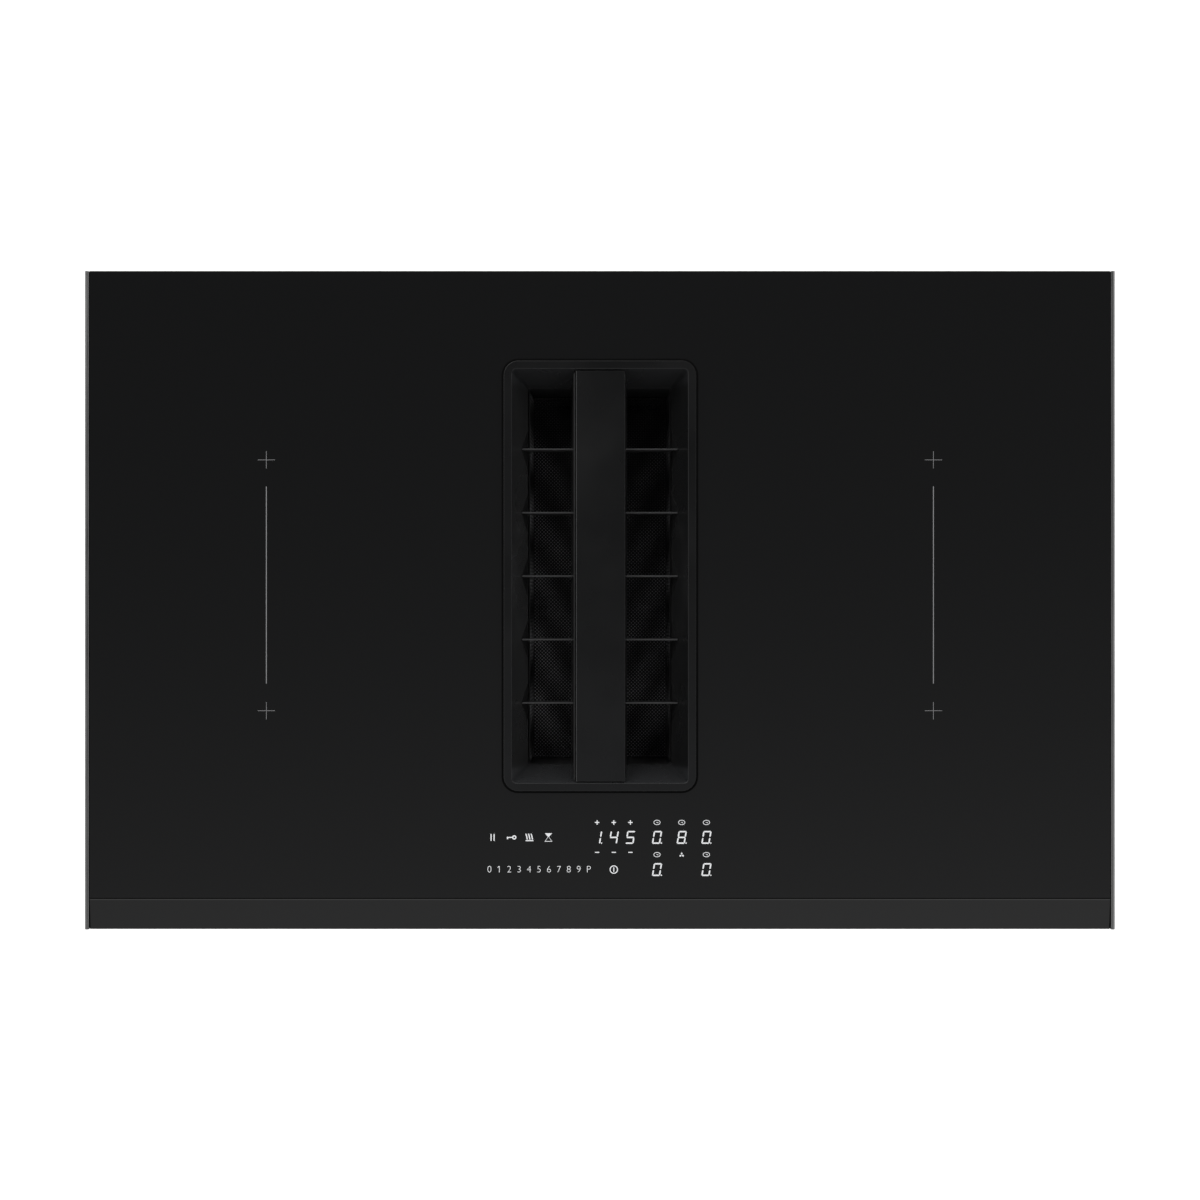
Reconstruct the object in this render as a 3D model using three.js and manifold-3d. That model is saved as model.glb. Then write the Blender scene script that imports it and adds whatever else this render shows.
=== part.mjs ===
// A built-in induction cooktop with a downdraft extractor in the middle of its glass.
// Millimetres, +Z up, +X to the right and +Y to the back of the worktop.
// The origin is the centre of the footprint, on the plane that the lowest pads stand on.
import * as THREE from "three";
import { mergeVertices } from "three/addons/utils/BufferGeometryUtils.js";
import Module from "manifold-3d";

const wasm = await Module();
wasm.setup();

// ---- Driving dimensions ----

const GAP = 0.3; // clearance between pieces that touch on the real object
const WELD = 0.5; // how far the parts of one solid reach into each other
const PAST = 1; // how far a cutting shape runs past the faces that it opens

// glass, side trims and worktop seal
const GLASS_WIDTH = 806;
const GLASS_DEPTH = 520;
const GLASS_THICK = 4;
const FACET_WIDTH = 24.5; // sloping band ground into the front edge
const FACET_DROP = 2.2;
const TRIM_THICK = 3.7;
const TRIM_PROUD = 0.4; // height above the glass
const TRIM_LIP = 3.5; // part that reaches under the glass
const TRIM_SHEET = 0.8;
const TRIM_CHAMFER = 1;
const SEAL_INSET = 4.5;
const SEAL_WIDTH = 7.5;
const SEAL_THICK = 3;
const SEAL_CORNER = 3;

// vent opening, seen from above
const VENT_Y = 19.2; // centre of the vent, behind the middle of the glass
const VENT_WIDTH = 139.2; // between the upper inner edges
const VENT_ENDS = 193.2; // glass in front of and behind the opening, together
const LAND_WIDTH = 6.6; // flat border round the opening
const LAND_THICK = 1.5;
const RIM_EDGE = 0.8; // bevel on the frame's rim
const FRAME_SEAL = 0.6;
const FRAME_CORNER = 14;
const OPENING_CORNER = 6;
const THROAT_CORNER = 2.5;
const SLOPE_RUN = 11.4; // how far the sloping walls draw in
const SLOPE_DEPTH = 28; // depth of their lower edge below the glass
const SPIGOT = 6; // straight wall below the slopes
const FRAME_WALL = 2;

// lift-off grille
const BAR_WIDTH = 38.6;
const BAR_COVER = 2;
const BAR_DEPTH = 33; // below the glass
const BAR_DRAFT = 2.4; // the bar's sides spread by this much on the way down
const BAR_WALL = 2;
const BAR_END_GAP = 1.3;
const BAR_CORNER = 0.8;
const COVER_INSET = 0.6; // the cover is this much narrower than the bar on each side
const COVER_EDGE = 0.4;
const COVER_CORNER = 1.2;
const FIN_COUNT = 5;
const FIN_THICK = 1.3;
const FIN_TOP = 18.5; // below the glass
const FIN_HEIGHT = 20;
const FIN_SEAT = 0.4; // clearance between the fins' ends and the sloping walls

// inlet duct and grease filter
const DUCT_WALL = 2.5;
const SOCKET_DEPTH = 4;
const DUCT_FLANGE = 8;
const DUCT_SHEET = 2;
const DUCT_REACH = 73; // from the spigot to the duct's lower end
const FILTER_LEDGE = 6;
const FILTER_HEIGHT = 12;
const FILTER_SIDE_GAP = 0.8;
const FILTER_SHEET = 1.2;
const FILTER_LIP = 5;
const FILTER_CORNER = 1.6;
const NET_THICK = 1.5;
const NET_DROP = 0.8; // below the filter frame's upper rim
const NET_COLUMNS = 5;
const NET_ROWS = 13;
const NET_STRAND = 2.6;
const NET_BORDER = 3;
const HANDLE_LENGTH = 70;
const HANDLE_WIDTH = 14;
const HANDLE_RISE = 22;
const HANDLE_SHEET = 1.5;
const HANDLE_FOOT = 10;

// hob tray, the sheet-metal box below the glass
const TRAY_SIDE_INSET = 17; // behind the edge of the glass
const TRAY_END_INSET = 19;
const TRAY_HEIGHT = 53;
const TRAY_SHEET = 1;
const TRAY_CORNER = 6;
const HOLE_CLEARANCE = 0.8; // round the duct, where it passes through sheet metal
const SLOT_COUNT = 6;
const SLOT_LENGTH = 46;
const SLOT_WIDTH = 5;
const SLOT_PITCH = 11;
const SLOT_OFFSET = 26; // outwards from the fan above
const VENT_SLOT_COUNT = 5; // cooling air leaves through the back wall
const VENT_SLOT_LENGTH = 26;
const VENT_SLOT_HEIGHT = 6;
const VENT_SLOT_PITCH = 34;
const VENT_SLOT_X = 200;
const VENT_SLOT_RISE = 14;

// heating zones
const ZONE_SIDE_INSET = 139.7; // zone centres, from the side edges of the glass
const COIL_WIDTH = 196;
const COIL_SPACE = 16.1; // between the windings of one side
const COIL_CORNER = 62;
const COIL_EYE = 46; // diameter of the open middle
const COIL_THICK = 4.5;
const COIL_AIR = 2; // between the windings and the glass
const CARRIER_MARGIN = 3;
const CARRIER_THICK = 5;
const SENSOR_DIAMETER = 16;
const SENSOR_HEIGHT = 8;
const COIL_PLATE_SHEET = 1.5;
const COIL_PLATE_MARGIN = 12;
const PLATE_TO_BACK = 27.3; // between each plate and the tray's walls
const PLATE_TO_FRONT = 50.6;
const PLATE_LEG_WIDTH = 20;
const PLATE_LEG_INSET = 12;
const PLATE_CORNER = 3;

// power electronics and its cooling
const BOARD_WIDTH = 150;
const BOARD_ROOM = 252; // left free in front of and behind the board, together
const BOARD_TO_FAN = 130; // from the board's middle to the fan's, along X
const BOARD_TO_TERMINALS = 3;
const BOARD_THICK = 1.6;
const STANDOFF = 6;
const STANDOFF_DIAMETER = 7;
const CAPACITOR_COUNT = 4;
const CAPACITOR_DIAMETER = 16;
const CAPACITOR_HEIGHT = 20;
const CHOKE_WIDTH = 30;
const CHOKE_DEPTH = 22;
const CHOKE_HEIGHT = 18;
const BRIDGE_WIDTH = 26; // row of switching transistors under their clamp
const BRIDGE_DEPTH = 42;
const BRIDGE_HEIGHT = 12;
const SINK_LENGTH = 110;
const SINK_WIDTH = 70;
const SINK_HEIGHT = 24;
const SINK_BASE = 4;
const SINK_FINS = 8;
const SINK_FIN_THICK = 1.6;
const FAN_SIZE = 92;
const FAN_HEIGHT = 24;
const FAN_FEET = 5; // height of the air space below each fan
const FAN_TO_SIDE = 15; // between each fan and the tray's walls
const FAN_TO_FRONT = 30;
const FAN_CORNER = 6;
const FAN_FOOT = 8;
const FAN_MOUTH = 62;
const FAN_WALL = 2;
const FAN_INTAKE = 66;
const FAN_SPOKE = 4;
const FAN_HUB = 16;
const ROTOR_BLADES = 9;
const ROTOR_DIAMETER = 72;
const ROTOR_TIP_GAP = 3;
const ROTOR_BLADE_THICK = 1.2;
const ROTOR_HEIGHT = 16;
const AXLE_DIAMETER = 5;
const RUNNING_GAP = 0.5; // round every turning axle
const SINK_TO_FAN = 8;

// touch controls below the front of the glass
const CONTROL_WIDTH = 196;
const CONTROL_DEPTH = 60;
const CONTROL_INSET = 66; // from the glass's front edge to the middle of the controls
const CONTROL_CORNER = 3;
const CONTROL_BOARD_THICK = 1.6;
const LIGHT_GUIDE_THICK = 4;
const LIGHT_GUIDE_MARGIN = 6;
const LIGHT_WINDOWS = 4;
const LIGHT_WINDOW_WIDTH = 23;
const CONTROL_BRACKET_DEPTH = 12;
const CONTROL_BRACKET_WALL = 1.5;
const CONTROL_LEG_WIDTH = 10;
const CONTROL_LEG_INSET = 3;

// fan case and its bottom cover
const CASE_LEFT = 105;
const CASE_RIGHT = 325;
const CASE_FRONT_INSET = 46; // behind the tray's front and back walls
const CASE_BACK_INSET = 26;
const CASE_HEIGHT = 148.6;
const CASE_WALL = 2;
const CASE_CORNER = 10;
const COVER_SHEET = 1.5;
const PAD_HEIGHT = 2;
const PAD_DIAMETER = 24;
const PAD_INSET = 20;

// drip tray, put in from below
const DRIP_SIDE_INSET = 5.1; // the tub is this much smaller than the vent opening on each side
const DRIP_END_INSET = 8.9;
const DRIP_HEIGHT = 24;
const DRIP_WALL = 1.5;
const DRIP_FLANGE = 7.5;
const DRIP_FLANGE_THICK = 1.3;
const DRIP_CORNER = 8;
const DRIP_SIDE_GAP = 1;

// blower
const BLOWER_X = 185;
const BLOWER_Y = 5;
const SCROLL_Z = 32; // above the bottom cover
const SCROLL_HEIGHT = 86;
const SCROLL_WALL = 2;
const SCROLL_START = 98; // radius at the tongue
const SCROLL_END = 128; // radius where the outlet leaves
const TONGUE_ANGLE = 60; // degrees
const INLET_DIAMETER = 132;
const INLET_LIP = 4;
const WHEEL_DIAMETER = 176;
const WHEEL_HEIGHT = 66;
const WHEEL_BLADES = 20;
const BLADE_CHORD = 15;
const BLADE_ANGLE = 35; // degrees from the radius
const BLADE_THICK = 1.4;
const WHEEL_SHEET = 2;
const BLADE_INSET = 1.5; // of the blades, from the wheel's rim
const HUB_DIAMETER = 26;
const HUB_HEIGHT = 18;
const SHAFT_DIAMETER = 8;
const MOTOR_DIAMETER = 84;
const MOTOR_HEIGHT = 48;
const MOTOR_ABOVE_WHEEL = 5; // between the wheel's disc and the motor
const MOTOR_RIM = 6;
const BRACKET_ARMS = 3;
const BRACKET_ARM_WIDTH = 14;
const BRACKET_SHEET = 2;
const BRACKET_REACH = 16; // from the inlet's edge to the middle of each leg
const BRACKET_LEG = 9;
const SHAFT_END = 4; // above the motor
const MOUNT_DIAMETER = 22;
const MOUNT_SPREAD_X = 62;
const MOUNT_SPREAD_Y = 62;

// outlet at the back, for a flat duct
const OUTLET_X = 206;
const OUTLET_WIDTH = 222;
const OUTLET_HEIGHT = 89;
const OUTLET_WALL = 2;
const OUTLET_REACH = 26;
const OUTLET_FLANGE = 9;
const LOUVRE_COUNT = 2;
const LOUVRE_THICK = 1.6;
const LOUVRE_BARREL = 5; // diameter round the pivot
const LOUVRE_PIN = 3.6;
const LOUVRE_PIN_GAP = 0.5;
const LOUVRE_END_GAP = 1.2;
const LOUVRE_SET_BACK = 9; // pivots, behind the case
const LOUVRE_TOP_GAP = 0.8;
const LOUVRE_TIP_GAP = 1.4;

// mains entry and worktop clips
const GLAND_SIDE_INSET = 86; // from the tray's left and back walls
const GLAND_BACK_INSET = 51;
const GLAND_BORE = 12;
const GLAND_DIAMETER = 24;
const GLAND_DROP = 22;
const GLAND_NUT = 8;
const GLAND_THREAD = 20;
const GLAND_CHAMFER = 3;
const TERMINAL_WIDTH = 64;
const TERMINAL_DEPTH = 24;
const TERMINAL_HEIGHT = 18;
const TERMINAL_POLES = 6;
const TERMINAL_SCREW_DEPTH = 5;
const TERMINAL_MOUTH = 8; // height of the wire entries
const TERMINAL_MOUTH_RISE = 4;
const TERMINAL_TO_GLAND = 24;
const CLIP_WIDTH = 26;
const CLIP_SHEET = 1.2;
const CLIP_LEG = 34;
const CLIP_SPREAD = 3.5;
const CLIP_END_INSET = 91; // from the tray's front and back walls
const CLIP_ABOVE_TRAY_BOTTOM = 9;

// ---- Places that follow from them ----

const VENT_LENGTH = GLASS_DEPTH - VENT_ENDS;
const TRAY_WIDTH = GLASS_WIDTH - 2 * TRAY_SIDE_INSET;
const TRAY_DEPTH = GLASS_DEPTH - 2 * TRAY_END_INSET;
const CASE_FRONT = TRAY_DEPTH / 2 - CASE_FRONT_INSET;
const CASE_BACK = TRAY_DEPTH / 2 - CASE_BACK_INSET;
const DRIP_WIDTH = VENT_WIDTH - 2 * DRIP_SIDE_INSET;
const DRIP_LENGTH = VENT_LENGTH - 2 * DRIP_END_INSET;

const COVER_Z = PAD_HEIGHT;
const CASE_Z = COVER_Z + COVER_SHEET + GAP;
const CASE_TOP = CASE_Z + CASE_HEIGHT;
const TRAY_Z = CASE_TOP + GAP;
const TRAY_TOP = TRAY_Z + TRAY_HEIGHT;
const GLASS_Z = TRAY_TOP + GAP;
const GLASS_TOP = GLASS_Z + GLASS_THICK;
const TRAY_FLOOR = TRAY_Z + TRAY_SHEET + GAP;

const OPENING_X = VENT_WIDTH / 2;
const OPENING_Y = VENT_LENGTH / 2;
const THROAT_X = OPENING_X - SLOPE_RUN;
const THROAT_Y = OPENING_Y - SLOPE_RUN;
const FIN_PITCH = (2 * THROAT_Y) / (FIN_COUNT + 1);
const FRAME_SEAT = FRAME_SEAL + 2 * GAP;
const FRAME_TOP = FRAME_SEAT + LAND_THICK;
const SPIGOT_Z = -SLOPE_DEPTH - SPIGOT;
const DUCT_BOTTOM = SPIGOT_Z - DUCT_REACH;
const DUCT_OUTER = DUCT_WALL + FRAME_WALL + GAP;
const LEDGE_TOP = DUCT_BOTTOM + DUCT_WALL;
const FILTER_X = THROAT_X - FILTER_SIDE_GAP;
const FILTER_Y = THROAT_Y - FILTER_SIDE_GAP;
const FILTER_TOP = LEDGE_TOP + GAP + FILTER_HEIGHT;
const NET_TOP = FILTER_TOP - NET_DROP;

const ZONE_X = GLASS_WIDTH / 2 - ZONE_SIDE_INSET;
const COIL_PLATE_BACK = TRAY_DEPTH / 2 - PLATE_TO_BACK;
const COIL_PLATE_FRONT = PLATE_TO_FRONT - TRAY_DEPTH / 2;
const COIL_DEPTH = (COIL_PLATE_BACK - COIL_PLATE_FRONT - COIL_SPACE) / 2 - COIL_PLATE_MARGIN;
const ZONE_REAR_Y = COIL_PLATE_BACK - COIL_PLATE_MARGIN - COIL_DEPTH / 2;
const ZONE_FRONT_Y = COIL_PLATE_FRONT + COIL_PLATE_MARGIN + COIL_DEPTH / 2;
const WINDING_TOP = GLASS_Z - COIL_AIR;
const CARRIER_TOP = WINDING_TOP - COIL_THICK - GAP;
const COIL_PLATE_TOP = CARRIER_TOP - CARRIER_THICK - GAP;
const COIL_PLATE_Y = (COIL_PLATE_BACK + COIL_PLATE_FRONT) / 2;
const COIL_PLATE_HALF_X = COIL_WIDTH / 2 + COIL_PLATE_MARGIN;
const COIL_PLATE_HALF_Y = (COIL_PLATE_BACK - COIL_PLATE_FRONT) / 2;
const PLATE_LEG_Y = COIL_PLATE_HALF_Y - PLATE_LEG_INSET - PLATE_LEG_WIDTH / 2;

const FAN_X = TRAY_WIDTH / 2 - FAN_TO_SIDE - FAN_SIZE / 2;
const FAN_Y = FAN_TO_FRONT + FAN_SIZE / 2 - TRAY_DEPTH / 2;
const SINK_Y = FAN_Y + (FAN_SIZE + SINK_LENGTH) / 2 + SINK_TO_FAN;
const BOARD_DEPTH = TRAY_DEPTH - BOARD_ROOM;
const CONTROL_Y = CONTROL_INSET - GLASS_DEPTH / 2;
const GLAND_X = GLAND_SIDE_INSET - TRAY_WIDTH / 2;
const GLAND_Y = TRAY_DEPTH / 2 - GLAND_BACK_INSET;
const BOARD_BACK = GLAND_Y - TERMINAL_DEPTH / 2 - BOARD_TO_TERMINALS;
const CLIP_Y = TRAY_DEPTH / 2 - CLIP_END_INSET;

const SHAFT_GAP = SHAFT_DIAMETER / 2 + RUNNING_GAP;
const SCROLL_BASE = COVER_Z + COVER_SHEET + SCROLL_Z;
const SCROLL_TOP = SCROLL_BASE + SCROLL_HEIGHT;
const WHEEL_MIDDLE = SCROLL_BASE + SCROLL_HEIGHT / 2;
const OUTLET_INNER_X = OUTLET_WIDTH / 2 - OUTLET_WALL;
const OUTLET_INNER_Z = OUTLET_HEIGHT / 2 - OUTLET_WALL;

// ---- Finishes ----

function finish(color, roughness, metalness = 0) {
  return new THREE.MeshStandardMaterial({ color, roughness, metalness });
}

const blackGlass = finish(0x101012, 0.08);
const trimSteel = finish(0x9a9b9c, 0.32, 1);
const blackMetal = finish(0x17181a, 0.5, 0.4);
const blackPlastic = finish(0x1b1c1d, 0.6);
const filterSteel = finish(0x3b3c3e, 0.4, 1);
const zincSheet = finish(0xa9adb0, 0.45, 1);
const aluminium = finish(0xc3c5c8, 0.4, 1);
const copperWire = finish(0xa8623a, 0.5, 0.8);
const paleCeramic = finish(0xd8d3c8, 0.7);
const greenBoard = finish(0x1f5a3a, 0.6);
const rubber = finish(0x121212, 0.9);
const foam = finish(0x2b2b2b, 0.95);
const whitePlastic = finish(0xdcdcd8, 0.55);

// ---- Making solids ----

// A closed geometry as a solid that can be joined and cut.
function solidFrom(geometry) {
  const bare = geometry.index ? geometry.toNonIndexed() : geometry.clone();
  bare.deleteAttribute("normal");
  bare.deleteAttribute("uv");
  const merged = mergeVertices(bare, 1e-4);
  const made = new wasm.Manifold(
    new wasm.Mesh({
      numProp: 3,
      vertProperties: merged.attributes.position.array,
      triVerts: new Uint32Array(merged.index.array),
    }),
  );
  return made;
}

function geometryFrom(solid) {
  const mesh = solid.getMesh();
  const geometry = new THREE.BufferGeometry();
  geometry.setAttribute("position", new THREE.BufferAttribute(mesh.vertProperties, 3));
  geometry.setIndex(new THREE.BufferAttribute(mesh.triVerts, 1));
  geometry.computeVertexNormals();
  return geometry;
}

function joined(solids) {
  return solids.reduce((whole, one) => whole.add(one));
}

// A box between two corners.
function block([x0, x1], [y0, y1], [z0, z1]) {
  const geometry = new THREE.BoxGeometry(x1 - x0, y1 - y0, z1 - z0);
  geometry.translate((x0 + x1) / 2, (y0 + y1) / 2, (z0 + z1) / 2);
  return solidFrom(geometry);
}

// A box centred on x and y, standing on z.
function standing(width, depth, height, x = 0, y = 0, z = 0) {
  return block([x - width / 2, x + width / 2], [y - depth / 2, y + depth / 2], [z, z + height]);
}

function roundedRectangle(halfX, halfY, radius, x = 0, y = 0) {
  const shape = new THREE.Shape();
  const r = Math.min(radius, halfX * 0.98, halfY * 0.98);
  shape.absarc(x + halfX - r, y + halfY - r, r, 0, Math.PI / 2);
  shape.absarc(x - halfX + r, y + halfY - r, r, Math.PI / 2, Math.PI);
  shape.absarc(x - halfX + r, y - halfY + r, r, Math.PI, 1.5 * Math.PI);
  shape.absarc(x + halfX - r, y - halfY + r, r, 1.5 * Math.PI, 2 * Math.PI);
  return shape;
}

// A flat outline given a height, standing on z.
function raised(shape, height, z = 0, curveSegments = 3) {
  const geometry = new THREE.ExtrudeGeometry(shape, {
    depth: height,
    bevelEnabled: false,
    curveSegments,
  });
  geometry.translate(0, 0, z);
  return solidFrom(geometry);
}

function roundedBlock(halfX, halfY, radius, height, z, x = 0, y = 0) {
  return raised(roundedRectangle(halfX, halfY, radius, x, y), height, z);
}

function cylinder(diameter, height, z = 0, x = 0, y = 0, sides = 16) {
  const geometry = new THREE.CylinderGeometry(diameter / 2, diameter / 2, height, sides);
  geometry.rotateX(Math.PI / 2);
  geometry.translate(x, y, z + height / 2);
  return solidFrom(geometry);
}

// A cylinder lying along X between x0 and x1.
function rod(diameter, x0, x1, y, z, sides = 10) {
  const geometry = new THREE.CylinderGeometry(diameter / 2, diameter / 2, x1 - x0, sides);
  geometry.rotateZ(Math.PI / 2);
  geometry.translate((x0 + x1) / 2, y, z);
  return solidFrom(geometry);
}

// A profile of [radius, height] points turned about Z.
function turned(profile, sides = 16) {
  const points = profile.map(([radius, z]) => new THREE.Vector2(radius, z));
  const geometry = new THREE.LatheGeometry(points, sides);
  geometry.rotateX(Math.PI / 2);
  return solidFrom(geometry);
}

// A [y, z] outline given a width along X, centred on x.
function profileAlongX(outline, width, x = 0) {
  const shape = new THREE.Shape(outline.map(([y, z]) => new THREE.Vector2(y, z)));
  const geometry = new THREE.ExtrudeGeometry(shape, { depth: width, bevelEnabled: false });
  geometry.rotateY(Math.PI / 2);
  geometry.rotateX(Math.PI / 2);
  geometry.translate(x - width / 2, 0, 0);
  return solidFrom(geometry);
}

// An [x, z] outline given a width along Y, centred on y.
function profileAlongY(outline, width, y = 0) {
  const shape = new THREE.Shape(outline.map(([x, z]) => new THREE.Vector2(x, z)));
  const geometry = new THREE.ExtrudeGeometry(shape, { depth: width, bevelEnabled: false });
  geometry.rotateX(Math.PI / 2);
  geometry.translate(0, y + width / 2, 0);
  return solidFrom(geometry);
}

// The corner points of a rounded rectangle, the same number whatever its radius.
function ringPoints({ halfX, halfY, radius, z }) {
  const CORNER_STEPS = 3;
  const centres = [
    [halfX - radius, halfY - radius],
    [radius - halfX, halfY - radius],
    [radius - halfX, radius - halfY],
    [halfX - radius, radius - halfY],
  ];
  return centres.flatMap(([x, y], corner) =>
    Array.from({ length: CORNER_STEPS + 1 }, (_, step) => {
      const angle = ((corner + step / CORNER_STEPS) * Math.PI) / 2;
      return [x + radius * Math.cos(angle), y + radius * Math.sin(angle), z];
    }),
  );
}

// Skins a list of rounded rectangles, from the lowest up. A closed list makes a frame,
// an open one a block with a flat top and bottom.
function lofted(rings, closed) {
  const loops = rings.map(ringPoints);
  const count = loops[0].length;
  const index = [];
  const last = closed ? loops.length : loops.length - 1;
  for (let level = 0; level < last; level++) {
    const upper = (level + 1) % loops.length;
    for (let i = 0; i < count; i++) {
      const a = level * count + i;
      const b = level * count + ((i + 1) % count);
      const c = upper * count + i;
      const d = upper * count + ((i + 1) % count);
      index.push(a, b, d, a, d, c);
    }
  }
  if (!closed) {
    const top = (loops.length - 1) * count;
    for (let i = 1; i < count - 1; i++) {
      index.push(0, i + 1, i, top, top + i, top + i + 1);
    }
  }
  const geometry = new THREE.BufferGeometry();
  geometry.setAttribute("position", new THREE.Float32BufferAttribute(loops.flat(2), 3));
  geometry.setIndex(index);
  return solidFrom(geometry);
}

// ---- The scene graph ----

function group(x = 0, y = 0, z = 0) {
  const made = new THREE.Group();
  made.position.set(x, y, z);
  cooktop.add(made);
  return made;
}

function place(parent, name, solid, material) {
  const mesh = new THREE.Mesh(geometryFrom(solid), material);
  mesh.name = name;
  parent.add(mesh);
  return mesh;
}

const SIDES = [
  ["left", -1],
  ["right", 1],
];

// ---- Glass, side trims and seal ----

function glassTop() {
  const front = -GLASS_DEPTH / 2;
  const back = GLASS_DEPTH / 2;
  const pane = profileAlongX(
    [
      [front, GLASS_Z],
      [back, GLASS_Z],
      [back, GLASS_TOP],
      [front + FACET_WIDTH, GLASS_TOP],
      [front, GLASS_TOP - FACET_DROP],
    ],
    GLASS_WIDTH,
  );
  const clear = FRAME_WALL + 2 * GAP;
  const hole = roundedBlock(
    OPENING_X + clear,
    OPENING_Y + clear,
    OPENING_CORNER + clear,
    GLASS_THICK * 3,
    GLASS_Z - GLASS_THICK,
    0,
    VENT_Y,
  );
  return pane.subtract(hole);
}

function sideTrim(side) {
  const inner = GLASS_WIDTH / 2 + GAP;
  const outer = inner + TRIM_THICK;
  const top = GLASS_TOP + TRIM_PROUD;
  const under = GLASS_Z - GAP;
  const foot = under - TRIM_SHEET;
  const outline = [
    [inner - GAP - TRIM_LIP, foot],
    [outer, foot],
    [outer, top - TRIM_CHAMFER],
    [outer - TRIM_CHAMFER, top],
    [inner, top],
    [inner, under],
    [inner - GAP - TRIM_LIP, under],
  ].map(([x, z]) => [side * x, z]);
  return profileAlongY(side > 0 ? outline : outline.reverse(), GLASS_DEPTH);
}

function worktopSeal() {
  const top = GLASS_Z - GAP;
  const halfX = GLASS_WIDTH / 2 - SEAL_INSET;
  const halfY = GLASS_DEPTH / 2 - SEAL_INSET;
  const rings = [
    [0, top - SEAL_THICK],
    [0, top],
    [SEAL_WIDTH, top],
    [SEAL_WIDTH, top - SEAL_THICK],
  ].map(([inset, z]) => ({ halfX: halfX - inset, halfY: halfY - inset, radius: SEAL_CORNER, z }));
  return lofted(rings, true);
}

// ---- Vent frame ----

function openingRing(spread, z, radius) {
  return { halfX: OPENING_X + spread, halfY: OPENING_Y + spread, radius, z };
}

function throatRing(spread, z, radius = THROAT_CORNER) {
  return { halfX: THROAT_X + spread, halfY: THROAT_Y + spread, radius, z };
}

// How far the sloping walls have drawn in at a height below the glass.
function slopeInset(z) {
  const height = SLOPE_DEPTH + FRAME_TOP - RIM_EDGE;
  const fall = Math.min(Math.max(FRAME_TOP - RIM_EDGE - z, 0), height);
  return (SLOPE_RUN * fall) / height;
}

function ventFrame() {
  return lofted(
    [
      openingRing(LAND_WIDTH, FRAME_SEAT, FRAME_CORNER),
      openingRing(LAND_WIDTH, FRAME_TOP - RIM_EDGE, FRAME_CORNER),
      openingRing(LAND_WIDTH - RIM_EDGE, FRAME_TOP, FRAME_CORNER - RIM_EDGE),
      openingRing(RIM_EDGE, FRAME_TOP, OPENING_CORNER + RIM_EDGE),
      openingRing(0, FRAME_TOP - RIM_EDGE, OPENING_CORNER),
      throatRing(0, -SLOPE_DEPTH),
      throatRing(0, SPIGOT_Z),
      throatRing(FRAME_WALL, SPIGOT_Z, THROAT_CORNER + FRAME_WALL),
      throatRing(FRAME_WALL, -SLOPE_DEPTH, THROAT_CORNER + FRAME_WALL),
      openingRing(FRAME_WALL, -GLASS_THICK / 4, OPENING_CORNER + FRAME_WALL),
      openingRing(FRAME_WALL, FRAME_SEAT, OPENING_CORNER + FRAME_WALL),
    ],
    true,
  );
}

function ventFrameSeal() {
  const inner = FRAME_WALL + 3 * GAP;
  return lofted(
    [
      openingRing(LAND_WIDTH - 1, GAP, FRAME_CORNER - 1),
      openingRing(LAND_WIDTH - 1, GAP + FRAME_SEAL, FRAME_CORNER - 1),
      openingRing(inner, GAP + FRAME_SEAL, OPENING_CORNER + inner),
      openingRing(inner, GAP, OPENING_CORNER + inner),
    ],
    true,
  );
}

// ---- Lift-off grille ----

function barRing(spread, z) {
  const share = (FRAME_TOP - z) / (FRAME_TOP + BAR_DEPTH);
  return {
    halfX: BAR_WIDTH / 2 + BAR_DRAFT * share + spread,
    halfY: OPENING_Y - BAR_END_GAP - slopeInset(z) + spread,
    radius: BAR_CORNER,
    z,
  };
}

function grilleCover() {
  const low = FRAME_TOP - BAR_COVER;
  const halfX = BAR_WIDTH / 2 - COVER_INSET;
  const halfY = OPENING_Y - BAR_END_GAP - COVER_INSET;
  const ring = (inset, z) => ({ halfX: halfX - inset, halfY: halfY - inset, radius: COVER_CORNER, z });
  return lofted(
    [
      ring(COVER_EDGE, low),
      ring(0, low + COVER_EDGE),
      ring(0, FRAME_TOP - COVER_EDGE),
      ring(COVER_EDGE, FRAME_TOP),
    ],
    false,
  );
}

function finOutline() {
  const top = -FIN_TOP;
  const bottom = top - FIN_HEIGHT;
  const upper = OPENING_X - slopeInset(top) - FIN_SEAT;
  const lower = THROAT_X - FIN_SEAT;
  return [
    [-lower, bottom],
    [lower, bottom],
    [lower, -SLOPE_DEPTH],
    [upper, top],
    [-upper, top],
    [-lower, -SLOPE_DEPTH],
  ];
}

function grilleBody() {
  const top = FRAME_TOP - BAR_COVER - GAP;
  const shell = lofted([barRing(0, -BAR_DEPTH), barRing(0, -SLOPE_DEPTH), barRing(0, top)], false);
  const hollow = lofted(
    [
      barRing(-BAR_WALL, -BAR_DEPTH - PAST),
      barRing(-BAR_WALL, -SLOPE_DEPTH),
      barRing(-BAR_WALL, top - BAR_WALL),
    ],
    false,
  );
  const fins = Array.from({ length: FIN_COUNT }, (_, i) =>
    profileAlongY(finOutline(), FIN_THICK, (i - (FIN_COUNT - 1) / 2) * FIN_PITCH),
  );
  return joined([shell.subtract(hollow), ...fins]);
}

// ---- Inlet duct and grease filter ----

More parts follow.
